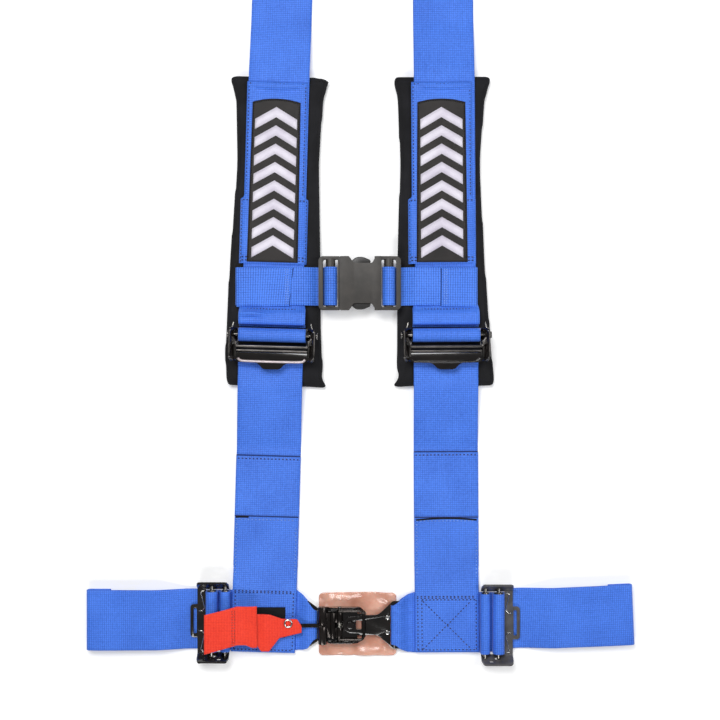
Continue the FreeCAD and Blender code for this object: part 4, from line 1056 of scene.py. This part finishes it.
def guard():
    """The wrinkled vinyl sheet beneath the latch."""
    place = at(-2.9, 3.5)

    def half(share):
        tuck = max(abs(share - 0.5) - 0.44, 0) / 0.06
        return 47.3 - 4.0 * tuck ** 2.5

    def level(x, y):
        spot = Vector((x / 21, y / 26, 1.7))
        long_fold = noise.noise(spot) * 3.0
        crease = abs(noise.noise(Vector((x / 22 + y / 40, y / 30 - x / 60, 6.2)))) * 5.0
        open_edge = ease(abs(x), 20, 42) + ease(abs(y), 24, 36)
        return 1.1 + min(open_edge, 1.0) * max(long_fold + crease, 0.0)

    sheet = panel("buckle_guard", -38.5, lambda s: 38.5 - 1.2 * abs(s) ** 4, half, level,
                  place, VINYL, 0.8, 60, 52)
    attach(sheet, "harness", "guard_vinyl", "buckle_guard")


def hook_tape():
    """The square of hook tape that holds the tab down."""
    def level(x, y):
        return 8.5 + 0.25 * math.sin(x * 2.4) * math.sin(y * 2.4)

    tape = panel("hook_and_loop_patch", -12.3, lambda s: 24.5, lambda t: 19.4, level,
                 at(0, 0), HOOK, 1.2, 60, 56, -110.4)
    attach(tape, "harness", "hook_tape", "hook_and_loop_patch")


# ---------- hardware
def hardware():
    for side, hand in SIDES:
        shoulder = f"shoulder_adjuster_{side}"
        lock = f"shoulder_lock_{side}"
        refined(shoulder + "_frame", ENAMEL, shoulder, "frame_steel", 0.4)
        refined(shoulder + "_lock_bar", BAR_METAL, lock, "bar_steel", 0.4)
        refined(shoulder + "_springs", SPRING, lock, "spring_steel", 0)
        lap = f"lap_adjuster_{side}"
        lock = f"lap_lock_{side}"
        # Same frame on both sides; the right one's lighter grey is a painted reflection.
        refined(lap + "_frame", EDGE_METAL if hand < 0 else LAP_FRAME_PAINTED_REFLECTION, lap, "frame_steel", 0.45)
        refined(lap + "_fixed_bar", BAR_METAL, lap, "bar_steel")
        refined(lap + "_lock_bar", BAR_METAL, lock, "bar_steel")
        refined(lap + "_springs", BRIGHT, lock, "spring_steel", 0)
        for end in ("shoulder", "lap"):
            refined(f"{end}_bracket_{side}", ENAMEL, f"{end}_lug_{side}", "frame_steel")
    refined("latch_base", ENAMEL, "harness", "latch_steel")
    refined("latch_lever", BLACK_CHROME, "release_lever", "latch_steel")
    refined("latch_bail", BLACK_CHROME, "front_bail", "latch_steel", 0.3)
    refined("latch_hinge_pin", BAR_METAL, "harness", "bar_steel")
    refined("latch_spring", SPRING, "harness", "spring_steel", 0)
    refined("link_plate", ENAMEL, "harness", "latch_steel", 0.6)
    refined("link_rivets", BRIGHT, "harness", "bright_steel", 0.4)
    ring = []
    for number in range(16):
        angle = number * math.pi / 8
        ring.append((-87.2 + 4.4 * math.cos(angle), 6.2 + 4.4 * math.sin(angle), 14.85))
    bead("pull_tab_eyelet_ring", placed(at(0, 0), ring), 1.2, BRIGHT, "release_lever",
         "bright_steel", "pull_tab_eyelet", closed=True)
    for label, width, segments in (("socket", 2.0, 4), ("insert", 1.0, 3)):
        refined(f"sternum_buckle_{label}", ACETAL, "harness", "buckle_plastic", width, segments,
                f"buckle_{label}_v")
    for label in ("upper", "lower"):
        # The prongs are darker than the buckle body because of painted shade.
        refined(f"sternum_prong_{label}", PRONG_PAINTED_SHADE, f"prong_{label}", "buckle_plastic", 1.2, 3,
                f"prong_{label}_v")


def adjuster_wires(side):
    """Plated outlines on the shoulder adjuster, a painted reflection on the left band lip, and
    the spring legs beside its strap.
    """
    place = adjuster_place(side)

    def plated(name, stops, radius, material=DARK_CHROME):
        bead(name, placed(place, stops), radius, material, f"shoulder_adjuster_{side}",
             "frame_steel")

    def symmetric(half, z):
        left = [(-x, y, z) for x, y in half]
        return left + [(x, y, z) for x, y in reversed(half[:-1])]

    bail = symmetric([(47.8, 3.5), (44.4, 8), (44.0, 13.9), (40, 13.9), (0, 13.9)], 4.6)
    lip = symmetric([(40.5, 28.5), (38.5, 31.2), (33, 32.0), (0, 32.2)], 2.2)
    plated(f"bail_plating_{side}", bail, 2.0)
    plated(f"cross_plating_{side}", symmetric([(45, 19), (0, 19)], 1), 1.75)
    # The left lip's pinkish colour is a painted reflection; the right lip is plain black enamel.
    plated(f"band_lip_{side}", lip, 1.6, LIP_PAINTED_REFLECTION if side == "left" else ENAMEL)
    for way in (-1, 1):
        plated(f"upright_{side}_{way + 1}",
               [(44.2 * way, 11, 4.4), (44.4 * way, 18, 3.8), (44.4 * way, 26, 2.4)], 1.8)
        leg = [(50.6 * way, 1.0, 3.4), (49.4 * way, -4, 4.6), (47.6 * way, -9, 5.4),
               (46.4 * way, -14.5, 5.0)]
        bead(f"spring_leg_{side}_{way + 1}", placed(place, leg), 0.7, SPRING,
             f"shoulder_lock_{side}", "spring_steel")
    for way in (-1, 1):
        plated(f"flange_edge_{side}_{way + 1}",
               [(51.0 * way, -5, 9.5), (51.0 * way, 4, 9.6), (51.0 * way, 20, 9.6),
                (50.8 * way, 27, 9.2), (49.5 * way, 31, 5.2), (48.2 * way, 31.8, 1.6)], 0.85)


# ---------- stage
# Places, sizes and aims on the stage are in metres.
CAMERA_SPOT = (-0.0007, -0.08705, 1.5)
HALF_VIEW = 0.441                # half the picture's width, at the floor
FLOOR_HALF = 30000.0             # millimetres, as make() expects
FLOOR_LEVEL = -0.2


def area_light(name, place, size, energy, aim):
    data = bpy.data.lights.new(name, "AREA")
    data.shape = "RECTANGLE"
    data.size, data.size_y = size
    data.energy = energy
    made = linked(name, data)
    made.location = place
    made.rotation_euler = (Vector(aim) - Vector(place)).to_track_quat("-Z", "Y").to_euler()


def studio_floor():
    """A white floor that glows more with distance, so that it runs out to pure white."""
    material, tree, shader = new_material("studio_floor")
    space = object_space(tree)
    tone = noise_node(tree, space, 3.0, 2.0)
    colour_by(tree, shader, tone, 0.2, 0.8, (0.93, 0.93, 0.93), (0.96, 0.96, 0.96))
    set_inputs(shader, Roughness=0.9, Emission_Color=(1, 1, 1, 1))
    away = node(tree, "ShaderNodeVectorMath", operation="LENGTH")
    link(tree, space, away.inputs[0])
    glow = node(tree, "ShaderNodeMapRange")
    set_inputs(glow, From_Min=1.0, From_Max=4.0, To_Min=0.16, To_Max=0.95)
    link(tree, away.outputs["Value"], glow.inputs["Value"])
    link(tree, glow.outputs[0], shader.inputs["Emission Strength"])
    corners = [(x * FLOOR_HALF, y * FLOOR_HALF, FLOOR_LEVEL)
               for x, y in ((-1, -1), (1, -1), (1, 1), (-1, 1))]
    make("studio_floor", corners, [(0, 1, 2, 3)], material, smooth=False)


def stage():
    studio_floor()
    world = bpy.data.worlds.new("Studio")
    bpy.context.scene.world = world
    world.use_nodes = True
    background = world.node_tree.nodes["Background"]
    set_inputs(background, Color=(0.95, 0.97, 1.0, 1), Strength=0.13)
    area_light("Key", (-0.45, 0.85, 1.9), (1.3, 0.9), 34, (0, -0.1, 0))
    area_light("Fill", (1.3, 0.0, 1.3), (0.6, 1.2), 11, (0, -0.1, 0))
    area_light("Front", (-0.2, -1.6, 1.5), (1.4, 0.4), 14, (0, -0.2, 0))
    scene = bpy.context.scene
    scene.view_settings.view_transform = "Standard"
    scene.view_settings.look = "None"
    camera_data = bpy.data.cameras.new("Camera")
    camera_data.sensor_fit = "HORIZONTAL"
    camera_data.angle = 2 * math.atan(HALF_VIEW / CAMERA_SPOT[2])
    camera = linked("Camera", camera_data)
    camera.location = CAMERA_SPOT
    scene.camera = camera


# ---------- the whole harness
for SIDE, HAND in SIDES:
    shoulder_strap(SIDE)
    lower_strap(SIDE)
    shoulder_stitching(SIDE)
    sleeve_and_patch(SIDE)
    pad(SIDE, HAND)
    lap_belt(SIDE, HAND)
    buckle_webbing(SIDE, HAND)
    sternum(SIDE, HAND)
    adjuster_wires(SIDE)
pull_tab()
guard()
hook_tape()
hardware()
stage()
